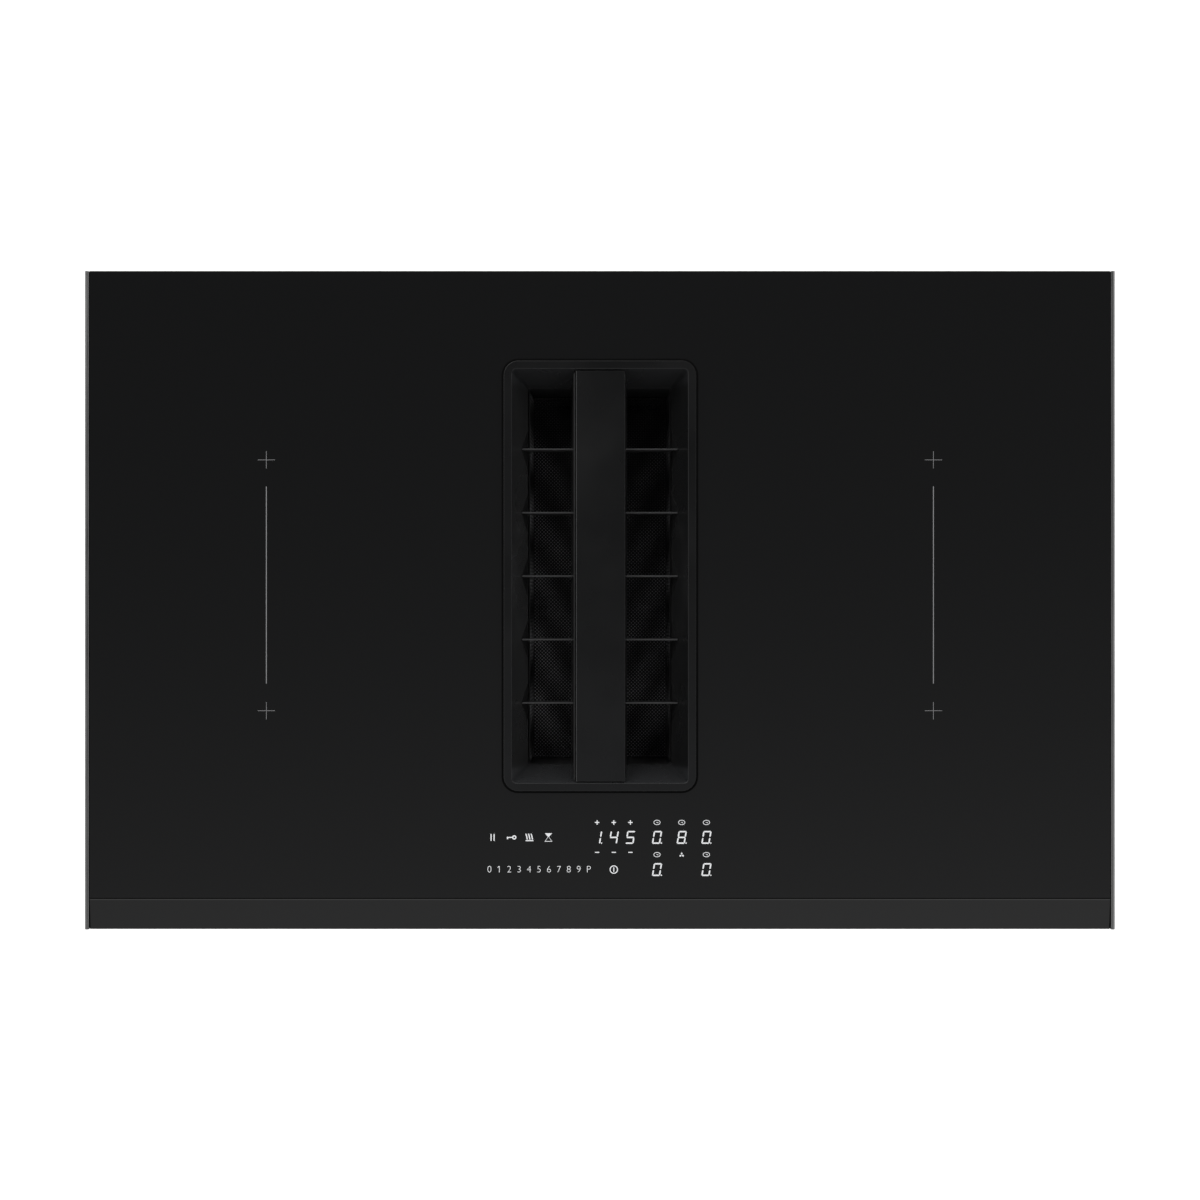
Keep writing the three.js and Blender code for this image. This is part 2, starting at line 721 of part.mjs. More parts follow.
function inletDuct() {
  const flangeTop = TRAY_FLOOR + DUCT_SHEET - GLASS_TOP;
  const outer = THROAT_CORNER + DUCT_OUTER;
  const socket = FRAME_WALL + GAP;
  const shoulder = SPIGOT_Z - GAP;
  return lofted(
    [
      throatRing(DUCT_OUTER, DUCT_BOTTOM, outer),
      throatRing(DUCT_OUTER, flangeTop - DUCT_SHEET, outer),
      throatRing(DUCT_OUTER + DUCT_FLANGE, flangeTop - DUCT_SHEET, outer + DUCT_FLANGE),
      throatRing(DUCT_OUTER + DUCT_FLANGE, flangeTop, outer + DUCT_FLANGE),
      throatRing(DUCT_OUTER, flangeTop, outer),
      throatRing(DUCT_OUTER, SPIGOT_Z + SOCKET_DEPTH, outer),
      throatRing(socket, SPIGOT_Z + SOCKET_DEPTH, THROAT_CORNER + socket),
      throatRing(socket, shoulder, THROAT_CORNER + socket),
      throatRing(0, shoulder - socket),
      throatRing(0, LEDGE_TOP),
      throatRing(-FILTER_LEDGE, LEDGE_TOP),
      throatRing(-FILTER_LEDGE, DUCT_BOTTOM),
    ],
    true,
  );
}

function filterRing(spread, z) {
  return { halfX: FILTER_X + spread, halfY: FILTER_Y + spread, radius: FILTER_CORNER, z };
}

function filterFrame() {
  const low = LEDGE_TOP + GAP;
  return lofted(
    [
      filterRing(0, low),
      filterRing(0, FILTER_TOP),
      filterRing(-FILTER_SHEET, FILTER_TOP),
      filterRing(-FILTER_SHEET, low + FILTER_SHEET),
      filterRing(-FILTER_LIP, low + FILTER_SHEET),
      filterRing(-FILTER_LIP, low),
    ],
    true,
  );
}

// A flat net of diamond gaps. The real one is a fine mesh of many layers.
function filterNet() {
  const halfX = FILTER_X - FILTER_SHEET - GAP;
  const halfY = FILTER_Y - FILTER_SHEET - GAP;
  const net = roundedRectangle(halfX, halfY, FILTER_CORNER);
  const pitchX = (2 * (halfX - NET_BORDER)) / NET_COLUMNS;
  const pitchY = (2 * (halfY - NET_BORDER)) / NET_ROWS;
  for (let column = 0; column < NET_COLUMNS; column++) {
    for (let row = 0; row < NET_ROWS; row++) {
      const x = (column + 0.5) * pitchX - halfX + NET_BORDER;
      const y = (row + 0.5) * pitchY - halfY + NET_BORDER;
      const reachX = (pitchX - NET_STRAND) / 2;
      const reachY = (pitchY - NET_STRAND) / 2;
      const gap = new THREE.Path();
      gap.moveTo(x + reachX, y);
      gap.lineTo(x, y - reachY);
      gap.lineTo(x - reachX, y);
      gap.lineTo(x, y + reachY);
      gap.closePath();
      net.holes.push(gap);
    }
  }
  return raised(net, NET_THICK, NET_TOP - NET_THICK);
}

function filterHandle() {
  const foot = NET_TOP + GAP;
  const top = foot + HANDLE_RISE;
  const half = HANDLE_LENGTH / 2;
  const slope = HANDLE_RISE * 0.4;
  return profileAlongX(
    [
      [-half - HANDLE_FOOT, foot],
      [-half + HANDLE_SHEET, foot],
      [-half + slope + HANDLE_SHEET, top - HANDLE_SHEET],
      [half - slope - HANDLE_SHEET, top - HANDLE_SHEET],
      [half - HANDLE_SHEET, foot],
      [half + HANDLE_FOOT, foot],
      [half + HANDLE_FOOT, foot + HANDLE_SHEET],
      [half, foot + HANDLE_SHEET],
      [half - slope, top],
      [slope - half, top],
      [-half, foot + HANDLE_SHEET],
      [-half - HANDLE_FOOT, foot + HANDLE_SHEET],
    ],
    HANDLE_WIDTH,
  );
}

// ---- Hob tray ----

function ductHole(z, height) {
  const spread = DUCT_OUTER + HOLE_CLEARANCE;
  return roundedBlock(THROAT_X + spread, THROAT_Y + spread, THROAT_CORNER + spread, height, z, 0, VENT_Y);
}

function hobTray() {
  const halfX = TRAY_WIDTH / 2;
  const halfY = TRAY_DEPTH / 2;
  const outside = roundedBlock(halfX, halfY, TRAY_CORNER, TRAY_HEIGHT, TRAY_Z);
  const inside = roundedBlock(
    halfX - TRAY_SHEET,
    halfY - TRAY_SHEET,
    TRAY_CORNER - TRAY_SHEET,
    TRAY_HEIGHT,
    TRAY_Z + TRAY_SHEET,
  );
  const low = TRAY_Z - PAST;
  const through = TRAY_SHEET + 2 * PAST;
  const cuts = [inside, ductHole(low, through)];
  for (const [, side] of SIDES) {
    for (let i = 0; i < SLOT_COUNT; i++) {
      const y = FAN_Y + (i - (SLOT_COUNT - 1) / 2) * SLOT_PITCH;
      cuts.push(standing(SLOT_LENGTH, SLOT_WIDTH, through, side * (FAN_X + SLOT_OFFSET), y, low));
    }
    for (let i = 0; i < VENT_SLOT_COUNT; i++) {
      const x = side * VENT_SLOT_X + (i - (VENT_SLOT_COUNT - 1) / 2) * VENT_SLOT_PITCH;
      const z = TRAY_Z + VENT_SLOT_RISE;
      cuts.push(standing(VENT_SLOT_LENGTH, 3 * TRAY_SHEET, VENT_SLOT_HEIGHT, x, halfY, z));
    }
  }
  cuts.push(cylinder(GLAND_THREAD + 2 * GAP, through, low, GLAND_X, GLAND_Y));
  return cuts.reduce((whole, cut) => whole.subtract(cut), outside);
}

// ---- Heating zones ----

function coilWinding() {
  const outline = roundedRectangle(COIL_WIDTH / 2, COIL_DEPTH / 2, COIL_CORNER);
  const eye = new THREE.Path();
  eye.absarc(0, 0, COIL_EYE / 2, 0, 2 * Math.PI, true);
  outline.holes.push(eye);
  return raised(outline, COIL_THICK, WINDING_TOP - COIL_THICK, 4);
}

function coilCarrier() {
  const halfX = COIL_WIDTH / 2 + CARRIER_MARGIN;
  const halfY = COIL_DEPTH / 2 + CARRIER_MARGIN;
  const z = CARRIER_TOP - CARRIER_THICK;
  const disc = roundedBlock(halfX, halfY, COIL_CORNER + CARRIER_MARGIN, CARRIER_THICK, z);
  return disc.subtract(cylinder(SENSOR_DIAMETER + 2 * GAP, CARRIER_THICK + 2 * PAST, z - PAST));
}

function coilSensor() {
  const low = COIL_PLATE_TOP + GAP;
  const top = GLASS_Z - GAP;
  const foot = SENSOR_DIAMETER / 2;
  const stem = foot * 0.75;
  return turned([
    [0, low],
    [foot, low],
    [foot, low + SENSOR_HEIGHT],
    [stem, low + SENSOR_HEIGHT],
    [stem, top],
    [0, top],
  ]);
}

function coilPlate(side) {
  const x = side * ZONE_X;
  const z = COIL_PLATE_TOP - COIL_PLATE_SHEET;
  const height = z + WELD - TRAY_FLOOR;
  const plate = roundedBlock(
    COIL_PLATE_HALF_X,
    COIL_PLATE_HALF_Y,
    PLATE_CORNER,
    COIL_PLATE_SHEET,
    z,
    x,
    COIL_PLATE_Y,
  );
  const parts = [plate];
  for (const [, across] of SIDES) {
    for (const [, along] of SIDES) {
      const legX = x + across * (COIL_PLATE_HALF_X - COIL_PLATE_SHEET / 2);
      const legY = COIL_PLATE_Y + along * PLATE_LEG_Y;
      parts.push(standing(COIL_PLATE_SHEET, PLATE_LEG_WIDTH, height, legX, legY, TRAY_FLOOR));
    }
  }
  return joined(parts);
}

// ---- Power electronics ----

function powerBoard() {
  const low = STANDOFF + BOARD_THICK - WELD;
  const parts = [standing(BOARD_WIDTH, BOARD_DEPTH, BOARD_THICK, 0, 0, STANDOFF)];
  for (const [, side] of SIDES) {
    for (const [, end] of SIDES) {
      const x = side * (BOARD_WIDTH / 2 - STANDOFF_DIAMETER);
      const y = end * (BOARD_DEPTH / 2 - STANDOFF_DIAMETER);
      parts.push(cylinder(STANDOFF_DIAMETER, STANDOFF + WELD, 0, x, y, 8));
    }
  }
  const row = BOARD_DEPTH / 4;
  for (let i = 0; i < CAPACITOR_COUNT; i++) {
    const y = (i - (CAPACITOR_COUNT - 1) / 2) * row * 0.8;
    parts.push(cylinder(CAPACITOR_DIAMETER, CAPACITOR_HEIGHT, low, -BOARD_WIDTH * 0.32, y, 10));
  }
  for (const [, end] of SIDES) {
    parts.push(standing(CHOKE_WIDTH, CHOKE_DEPTH, CHOKE_HEIGHT, BOARD_WIDTH * 0.05, end * row, low));
  }
  parts.push(standing(BRIDGE_WIDTH, BRIDGE_DEPTH, BRIDGE_HEIGHT, BOARD_WIDTH * 0.3, 0, low));
  return joined(parts);
}

function heatSink() {
  const parts = [standing(SINK_WIDTH, SINK_LENGTH, SINK_BASE)];
  const step = (SINK_WIDTH - SINK_FIN_THICK) / (SINK_FINS - 1);
  for (let i = 0; i < SINK_FINS; i++) {
    const x = i * step - (SINK_WIDTH - SINK_FIN_THICK) / 2;
    const height = SINK_HEIGHT - SINK_BASE + WELD;
    parts.push(standing(SINK_FIN_THICK, SINK_LENGTH, height, x, 0, SINK_BASE - WELD));
  }
  return joined(parts);
}

function coolingFanHousing() {
  const half = FAN_SIZE / 2;
  const floor = FAN_FEET + FAN_WALL;
  const shell = roundedBlock(half, half, FAN_CORNER, FAN_HEIGHT, FAN_FEET);
  const well = cylinder(ROTOR_DIAMETER + 2 * ROTOR_TIP_GAP, FAN_HEIGHT, floor, 0, 0, 20);
  const intake = cylinder(FAN_INTAKE, FAN_HEIGHT, 0, 0, 0, 20);
  const reach = half + PAST;
  const mouth = standing(FAN_MOUTH, reach, FAN_HEIGHT - 2 * FAN_WALL, 0, reach / 2, floor);
  const spoke = FAN_INTAKE + 2 * WELD;
  const parts = [
    shell.subtract(well).subtract(mouth).subtract(intake),
    standing(spoke, FAN_SPOKE, FAN_WALL, 0, 0, FAN_FEET),
    standing(FAN_SPOKE, spoke, FAN_WALL, 0, 0, FAN_FEET),
    cylinder(FAN_HUB, FAN_WALL, FAN_FEET, 0, 0, 12),
    cylinder(AXLE_DIAMETER, FAN_HEIGHT - FAN_WALL, FAN_FEET + WELD, 0, 0, 12),
  ];
  for (const [, side] of SIDES) {
    for (const [, end] of SIDES) {
      const inset = half - FAN_FOOT;
      parts.push(standing(FAN_FOOT, FAN_FOOT, FAN_FEET + WELD, side * inset, end * inset));
    }
  }
  return joined(parts);
}

function coolingFanRotor() {
  const low = FAN_FEET + FAN_WALL + RUNNING_GAP;
  const cup = cylinder(ROTOR_DIAMETER * 0.45, ROTOR_HEIGHT, low);
  const parts = [cup];
  for (let i = 0; i < ROTOR_BLADES; i++) {
    const blade = new THREE.BoxGeometry(ROTOR_DIAMETER * 0.3, ROTOR_BLADE_THICK, ROTOR_HEIGHT);
    blade.translate(ROTOR_DIAMETER * 0.33, 0, low + ROTOR_HEIGHT / 2);
    blade.rotateZ((2 * Math.PI * i) / ROTOR_BLADES);
    parts.push(solidFrom(blade));
  }
  const bore = cylinder(AXLE_DIAMETER + 2 * RUNNING_GAP, FAN_HEIGHT, FAN_FEET, 0, 0, 12);
  return joined(parts).subtract(bore);
}

// ---- Touch controls ----

const LIGHT_GUIDE_TOP = GLASS_Z - GAP;
const CONTROL_BOARD_TOP = LIGHT_GUIDE_TOP - LIGHT_GUIDE_THICK - GAP;
const CONTROL_BRACKET_TOP = CONTROL_BOARD_TOP - CONTROL_BOARD_THICK - GAP;

function lightGuide() {
  const halfX = CONTROL_WIDTH / 2 - LIGHT_GUIDE_MARGIN;
  const halfY = CONTROL_DEPTH / 2 - LIGHT_GUIDE_MARGIN;
  const z = LIGHT_GUIDE_TOP - LIGHT_GUIDE_THICK;
  const through = LIGHT_GUIDE_THICK + 2 * PAST;
  const pitch = (2 * halfX - LIGHT_GUIDE_MARGIN) / LIGHT_WINDOWS;
  let guide = roundedBlock(halfX, halfY, CONTROL_CORNER, LIGHT_GUIDE_THICK, z);
  for (let i = 0; i < LIGHT_WINDOWS; i++) {
    const x = (i - (LIGHT_WINDOWS - 1) / 2) * pitch;
    guide = guide.subtract(standing(LIGHT_WINDOW_WIDTH, halfY, through, x, 0, z - PAST));
  }
  return guide;
}

function controlBoard() {
  const z = CONTROL_BOARD_TOP - CONTROL_BOARD_THICK;
  return roundedBlock(CONTROL_WIDTH / 2, CONTROL_DEPTH / 2, CONTROL_CORNER, CONTROL_BOARD_THICK, z);
}

function controlBracket() {
  const z = CONTROL_BRACKET_TOP - CONTROL_BRACKET_DEPTH;
  const halfX = CONTROL_WIDTH / 2;
  const halfY = CONTROL_DEPTH / 2;
  const wall = CONTROL_BRACKET_WALL;
  const corner = CONTROL_CORNER - wall;
  const outside = roundedBlock(halfX, halfY, CONTROL_CORNER, CONTROL_BRACKET_DEPTH, z);
  const inside = roundedBlock(halfX - wall, halfY - wall, corner, CONTROL_BRACKET_DEPTH, z + wall);
  const legs = SIDES.map(([, side]) => {
    const x = side * (halfX - CONTROL_LEG_INSET - CONTROL_LEG_WIDTH / 2);
    return standing(CONTROL_LEG_WIDTH, CONTROL_DEPTH * 0.6, z + WELD - TRAY_FLOOR, x, 0, TRAY_FLOOR);
  });
  return joined([outside.subtract(inside), ...legs]);
}

// ---- Fan case, bottom cover and drip tray ----

const CASE_X = (CASE_RIGHT - CASE_LEFT) / 2;
const CASE_Y = (CASE_BACK - CASE_FRONT) / 2;
const CASE_HALF_X = (CASE_RIGHT + CASE_LEFT) / 2;
const CASE_HALF_Y = (CASE_BACK + CASE_FRONT) / 2;

function caseBlock(inset, height, z) {
  const halfX = CASE_HALF_X - inset;
  const halfY = CASE_HALF_Y - inset;
  return roundedBlock(halfX, halfY, CASE_CORNER - inset, height, z, CASE_X, CASE_Y);
}

function fanCase() {
  const outside = caseBlock(0, CASE_HEIGHT, CASE_Z);
  const inside = caseBlock(CASE_WALL, CASE_HEIGHT, CASE_Z - CASE_WALL);
  const outlet = block(
    [OUTLET_X - OUTLET_INNER_X, OUTLET_X + OUTLET_INNER_X],
    [CASE_BACK - CASE_WALL - PAST, CASE_BACK + PAST],
    [WHEEL_MIDDLE - OUTLET_INNER_Z, WHEEL_MIDDLE + OUTLET_INNER_Z],
  );
  const inlet = ductHole(CASE_TOP - CASE_WALL - PAST, CASE_WALL + 2 * PAST);
  return outside.subtract(inside).subtract(inlet).subtract(outlet);
}

function bottomCover() {
  const plate = caseBlock(CASE_WALL / 2, COVER_SHEET, COVER_Z);
  const pads = SIDES.flatMap(([, side]) =>
    SIDES.map(([, end]) => {
      const x = CASE_X + side * (CASE_HALF_X - PAD_INSET);
      const y = CASE_Y + end * (CASE_HALF_Y - PAD_INSET);
      return cylinder(PAD_DIAMETER, PAD_HEIGHT + WELD, 0, x, y);
    }),
  );
  const hole = roundedBlock(
    DRIP_WIDTH / 2 + DRIP_SIDE_GAP,
    DRIP_LENGTH / 2 + DRIP_SIDE_GAP,
    DRIP_CORNER + DRIP_SIDE_GAP,
    COVER_SHEET + 2 * PAST,
    COVER_Z - PAST,
    0,
    VENT_Y,
  );
  return joined([plate, ...pads]).subtract(hole);
}

function dripTray() {
  const flangeTop = COVER_Z - GAP;
  const flangeLow = flangeTop - DRIP_FLANGE_THICK;
  const halfX = DRIP_WIDTH / 2;
  const halfY = DRIP_LENGTH / 2;
  const rimX = halfX + DRIP_FLANGE;
  const rimY = halfY + DRIP_FLANGE;
  const flange = roundedBlock(rimX, rimY, DRIP_CORNER, DRIP_FLANGE_THICK, flangeLow);
  const tub = roundedBlock(halfX, halfY, DRIP_CORNER, DRIP_HEIGHT, flangeLow);
  const well = roundedBlock(
    halfX - DRIP_WALL,
    halfY - DRIP_WALL,
    DRIP_CORNER - DRIP_WALL,
    DRIP_HEIGHT,
    flangeLow + DRIP_WALL,
  );
  return flange.add(tub).subtract(well);
}

// ---- Blower ----

function scrollPoint(degrees, wall) {
  const share = (degrees - TONGUE_ANGLE) / (360 - TONGUE_ANGLE);
  const radius = SCROLL_START + (SCROLL_END - SCROLL_START) * share + wall;
  const angle = (degrees * Math.PI) / 180;
  return new THREE.Vector2(radius * Math.cos(angle), radius * Math.sin(angle));
}

const SCROLL_MOUTH_Y = CASE_BACK - CASE_WALL - GAP - BLOWER_Y;

// The space inside the scroll, or that space and its wall.
function scrollSpace(wall, height, z) {
  const STEPS = 18;
  const spiral = Array.from({ length: STEPS + 1 }, (_, i) =>
    scrollPoint(TONGUE_ANGLE + ((360 - TONGUE_ANGLE) * i) / STEPS, wall),
  );
  const left = OUTLET_X - OUTLET_INNER_X - BLOWER_X - wall;
  const right = OUTLET_X + OUTLET_INNER_X - BLOWER_X + wall;
  const tongue = scrollPoint(TONGUE_ANGLE, 0);
  const channel = [
    new THREE.Vector2(0, 0),
    new THREE.Vector2(SCROLL_END + wall, 0),
    new THREE.Vector2(right, SCROLL_MOUTH_Y),
    new THREE.Vector2(left, SCROLL_MOUTH_Y),
    new THREE.Vector2(tongue.x - wall * 0.7, tongue.y - wall * 0.7),
  ];
  return raised(new THREE.Shape(spiral), height, z).add(raised(new THREE.Shape(channel), height, z));
}

function blowerScroll() {
  const wall = SCROLL_WALL;
  const height = SCROLL_HEIGHT - wall - GAP;
  const outside = scrollSpace(wall, height, SCROLL_BASE);
  const inside = scrollSpace(0, SCROLL_HEIGHT, SCROLL_BASE + wall);
  const inlet = cylinder(INLET_DIAMETER, wall + 2 * PAST, SCROLL_BASE - PAST);
  const mouth = block(
    [OUTLET_X - OUTLET_INNER_X - BLOWER_X, OUTLET_X + OUTLET_INNER_X - BLOWER_X],
    [SCROLL_MOUTH_Y - wall, SCROLL_MOUTH_Y + wall],
    [SCROLL_BASE + wall, SCROLL_TOP],
  );
  return outside.subtract(inside).subtract(inlet).subtract(mouth);
}

function scrollCover() {
  const wall = SCROLL_WALL;
  const z = SCROLL_TOP - wall;
  const lid = scrollSpace(wall, wall, z);
  const radius = INLET_DIAMETER / 2;
  const lip = turned([
    [radius, z],
    [radius + INLET_LIP, z],
    [radius + INLET_LIP, SCROLL_TOP + INLET_LIP],
    [radius, SCROLL_TOP + INLET_LIP],
    [radius, z],
  ]);
  return lid.subtract(cylinder(INLET_DIAMETER + INLET_LIP, wall + 2 * PAST, z - PAST)).add(lip);
}

function blowerWheel() {
  const radius = WHEEL_DIAMETER / 2;
  const low = WHEEL_MIDDLE - WHEEL_HEIGHT / 2;
  const depth = BLADE_CHORD * Math.cos((BLADE_ANGLE * Math.PI) / 180);
  const ringInner = WHEEL_DIAMETER - 2 * depth - 4 * BLADE_INSET;
  const ring = (z) => {
    const outer = cylinder(WHEEL_DIAMETER, WHEEL_SHEET, z, 0, 0, 40);
    return outer.subtract(cylinder(ringInner, WHEEL_SHEET + 2 * PAST, z - PAST, 0, 0, 40));
  };
  const parts = [
    ring(low),
    ring(low + WHEEL_HEIGHT - WHEEL_SHEET),
    cylinder(WHEEL_DIAMETER - depth, WHEEL_SHEET, WHEEL_MIDDLE - WHEEL_SHEET / 2, 0, 0, 40),
    cylinder(HUB_DIAMETER, HUB_HEIGHT, WHEEL_MIDDLE - HUB_HEIGHT + WHEEL_SHEET / 2),
  ];
  for (let i = 0; i < WHEEL_BLADES; i++) {
    const blade = new THREE.BoxGeometry(BLADE_CHORD, BLADE_THICK, WHEEL_HEIGHT - WHEEL_SHEET);
    blade.rotateZ((BLADE_ANGLE * Math.PI) / 180);
    blade.translate(radius - depth / 2 - BLADE_INSET, 0, WHEEL_MIDDLE);
    blade.rotateZ((2 * Math.PI * i) / WHEEL_BLADES);
    parts.push(solidFrom(blade));
  }
  const bore = cylinder(SHAFT_DIAMETER + 2 * GAP, 2 * HUB_HEIGHT, WHEEL_MIDDLE - 1.5 * HUB_HEIGHT);
  return joined(parts).subtract(bore);
}

const MOTOR_Z = WHEEL_MIDDLE + WHEEL_SHEET / 2 + MOTOR_ABOVE_WHEEL;

function motorCan() {
  const radius = MOTOR_DIAMETER / 2;
  const top = MOTOR_Z + MOTOR_HEIGHT;
  return turned([
    [SHAFT_GAP, MOTOR_Z],
    [radius - MOTOR_RIM, MOTOR_Z],
    [radius, MOTOR_Z + MOTOR_RIM],
    [radius, top - MOTOR_RIM],
    [radius - MOTOR_RIM, top],
    [SHAFT_GAP, top],
    [SHAFT_GAP, MOTOR_Z],
  ]);
}

function motorShaft() {
  const low = WHEEL_MIDDLE - HUB_HEIGHT;
  const reach = MOTOR_Z + MOTOR_HEIGHT + SHAFT_END - low;
  return cylinder(SHAFT_DIAMETER, reach, low, 0, 0, 16);
}

function motorBracket() {
  const z = MOTOR_Z + MOTOR_HEIGHT + GAP;
  const seat = SCROLL_TOP + GAP;
  const ring = cylinder(MOTOR_DIAMETER * 0.8, BRACKET_SHEET, z).subtract(
    cylinder(MOTOR_DIAMETER * 0.45, BRACKET_SHEET + 2 * PAST, z - PAST),
  );
  const reach = INLET_DIAMETER / 2 + BRACKET_REACH;
  const parts = [ring];
  for (let i = 0; i < BRACKET_ARMS; i++) {
    const start = MOTOR_DIAMETER * 0.3;
    const arm = new THREE.BoxGeometry(reach + BRACKET_LEG / 2 - start, BRACKET_ARM_WIDTH, BRACKET_SHEET);
    arm.translate((reach + BRACKET_LEG / 2 + start) / 2, 0, z + BRACKET_SHEET / 2);
    const leg = new THREE.BoxGeometry(BRACKET_LEG, BRACKET_ARM_WIDTH, z + WELD - seat);
    leg.translate(reach, 0, (z + WELD + seat) / 2);
    for (const geometry of [arm, leg]) {
      geometry.rotateZ((2 * Math.PI * i) / BRACKET_ARMS + Math.PI / 2);
      parts.push(solidFrom(geometry));
    }
  }
  return joined(parts);
}

function blowerMount() {
  const low = COVER_Z + COVER_SHEET + GAP;
  const height = SCROLL_BASE - GAP - low;
  const radius = MOUNT_DIAMETER / 2;
  return turned(
    [
      [0, low],
      [radius, low],
      [radius * 0.7, low + height / 2],
      [radius, low + height],
      [0, low + height],
    ],
    12,
  );
}

// ---- Outlet ----

const LOUVRE_Y = CASE_BACK + LOUVRE_SET_BACK;
const LOUVRE_PITCH = (2 * OUTLET_INNER_Z) / LOUVRE_COUNT;

function louvreAxisZ(i) {
  return WHEEL_MIDDLE + OUTLET_INNER_Z - LOUVRE_BARREL / 2 - LOUVRE_TOP_GAP - i * LOUVRE_PITCH;
}

function outletCollar() {
  const nearY = CASE_BACK + GAP;
  const farY = CASE_BACK + GAP + OUTLET_WALL + OUTLET_REACH;
  const tube = (inset, [y0, y1]) =>
    block(
      [OUTLET_X - OUTLET_WIDTH / 2 + inset, OUTLET_X + OUTLET_WIDTH / 2 - inset],
      [y0, y1],
      [WHEEL_MIDDLE - OUTLET_HEIGHT / 2 + inset, WHEEL_MIDDLE + OUTLET_HEIGHT / 2 - inset],
    );
  const flange = tube(-OUTLET_FLANGE, [nearY, nearY + OUTLET_WALL]);
  let collar = flange.add(tube(0, [nearY, farY]));
  collar = collar.subtract(tube(OUTLET_WALL, [nearY - PAST, farY + PAST]));
  const reach = OUTLET_WIDTH / 2 + PAST;
  const hole = LOUVRE_PIN + 2 * LOUVRE_PIN_GAP;
  for (let i = 0; i < LOUVRE_COUNT; i++) {
    collar = collar.subtract(rod(hole, OUTLET_X - reach, OUTLET_X + reach, LOUVRE_Y, louvreAxisZ(i)));
  }
  return collar;
}

function outletLouvre(i) {
  const axisZ = louvreAxisZ(i);
  const half = OUTLET_INNER_X - LOUVRE_END_GAP;
  const pinReach = OUTLET_INNER_X + OUTLET_WALL * 0.8;
  const blade = block(
    [OUTLET_X - half, OUTLET_X + half],
    [LOUVRE_Y - LOUVRE_THICK / 2, LOUVRE_Y + LOUVRE_THICK / 2],
    [axisZ - LOUVRE_PITCH + LOUVRE_BARREL / 2 + LOUVRE_TIP_GAP, axisZ],
  );
  const barrel = rod(LOUVRE_BARREL, OUTLET_X - half, OUTLET_X + half, LOUVRE_Y, axisZ);
  const pins = rod(LOUVRE_PIN, OUTLET_X - pinReach, OUTLET_X + pinReach, LOUVRE_Y, axisZ);
  return joined([blade, barrel, pins]);
}

// ---- Mains entry and worktop clips ----

function cableGland() {
  const bore = GLAND_BORE / 2;
  const radius = GLAND_DIAMETER / 2;
  const thread = GLAND_THREAD / 2;
  const under = TRAY_Z - GAP;
  const low = under - GLAND_DROP;
  const top = TRAY_FLOOR + GLAND_NUT;
  return turned([
    [bore, low],
    [radius - GLAND_CHAMFER, low],
    [radius, low + GLAND_CHAMFER],
    [radius, under],
    [thread, under],
    [thread, top],
    [bore, top],
    [bore, low],
  ]);
}

function terminalBlock() {
  const pitch = TERMINAL_WIDTH / TERMINAL_POLES;
  const screwZ = TERMINAL_HEIGHT - TERMINAL_SCREW_DEPTH;
  let made = standing(TERMINAL_WIDTH, TERMINAL_DEPTH, TERMINAL_HEIGHT);
  for (let i = 0; i < TERMINAL_POLES; i++) {
    const x = (i + 0.5) * pitch - TERMINAL_WIDTH / 2;
    const screw = cylinder(pitch * 0.55, TERMINAL_SCREW_DEPTH + PAST, screwZ, x, TERMINAL_DEPTH / 5, 8);
    const mouth = standing(
      pitch * 0.6,
      TERMINAL_MOUTH,
      TERMINAL_MOUTH,
      x,
      -TERMINAL_DEPTH / 2,
      TERMINAL_MOUTH_RISE,
    );
    made = made.subtract(screw).subtract(mouth);
  }
  return made;
}

// A bent leaf that springs out against the edge of the worktop's cut-out.
function worktopClip(side) {
  const wall = TRAY_WIDTH / 2 + GAP;
  const low = TRAY_Z + CLIP_ABOVE_TRAY_BOTTOM;
  const tip = wall + CLIP_SPREAD;
  const outline = [
    [wall, low],
    [wall + 2 * CLIP_SHEET, low],
    [tip, low + CLIP_LEG * 0.6],
    [wall + CLIP_SPREAD * 0.6, low + CLIP_LEG * 0.85],
    [wall + CLIP_SPREAD * 0.6 - CLIP_SHEET, low + CLIP_LEG * 0.82],
    [tip - CLIP_SHEET * 1.1, low + CLIP_LEG * 0.6],
    [wall + CLIP_SHEET, low + 2.5 * CLIP_SHEET],
    [wall + CLIP_SHEET, low + CLIP_LEG],
    [wall, low + CLIP_LEG],
  ].map(([x, z]) => [side * x, z]);
  return profileAlongY(side > 0 ? outline : outline.reverse(), CLIP_WIDTH);
}

// ---- Assembly ----

const cooktop = new THREE.Group();
cooktop.name = "downdraft_induction_cooktop";

const top = group();
place(top, "glass_top", glassTop(), blackGlass);
place(top, "worktop_seal", worktopSeal(), foam);
for (const [name, side] of SIDES) {
  place(top, `side_trim_${name}`, sideTrim(side), trimSteel);
}

const vent = group(0, VENT_Y, GLASS_TOP);
place(vent, "vent_frame", ventFrame(), blackMetal);
place(vent, "vent_frame_seal", ventFrameSeal(), rubber);
place(vent, "grille_cover", grilleCover(), blackMetal);
place(vent, "grille_body", grilleBody(), blackMetal);
place(vent, "inlet_duct", inletDuct(), blackPlastic);
place(vent, "filter_frame", filterFrame(), filterSteel);
place(vent, "filter_net", filterNet(), filterSteel);
place(vent, "filter_handle", filterHandle(), filterSteel);

place(group(), "hob_tray", hobTray(), zincSheet);

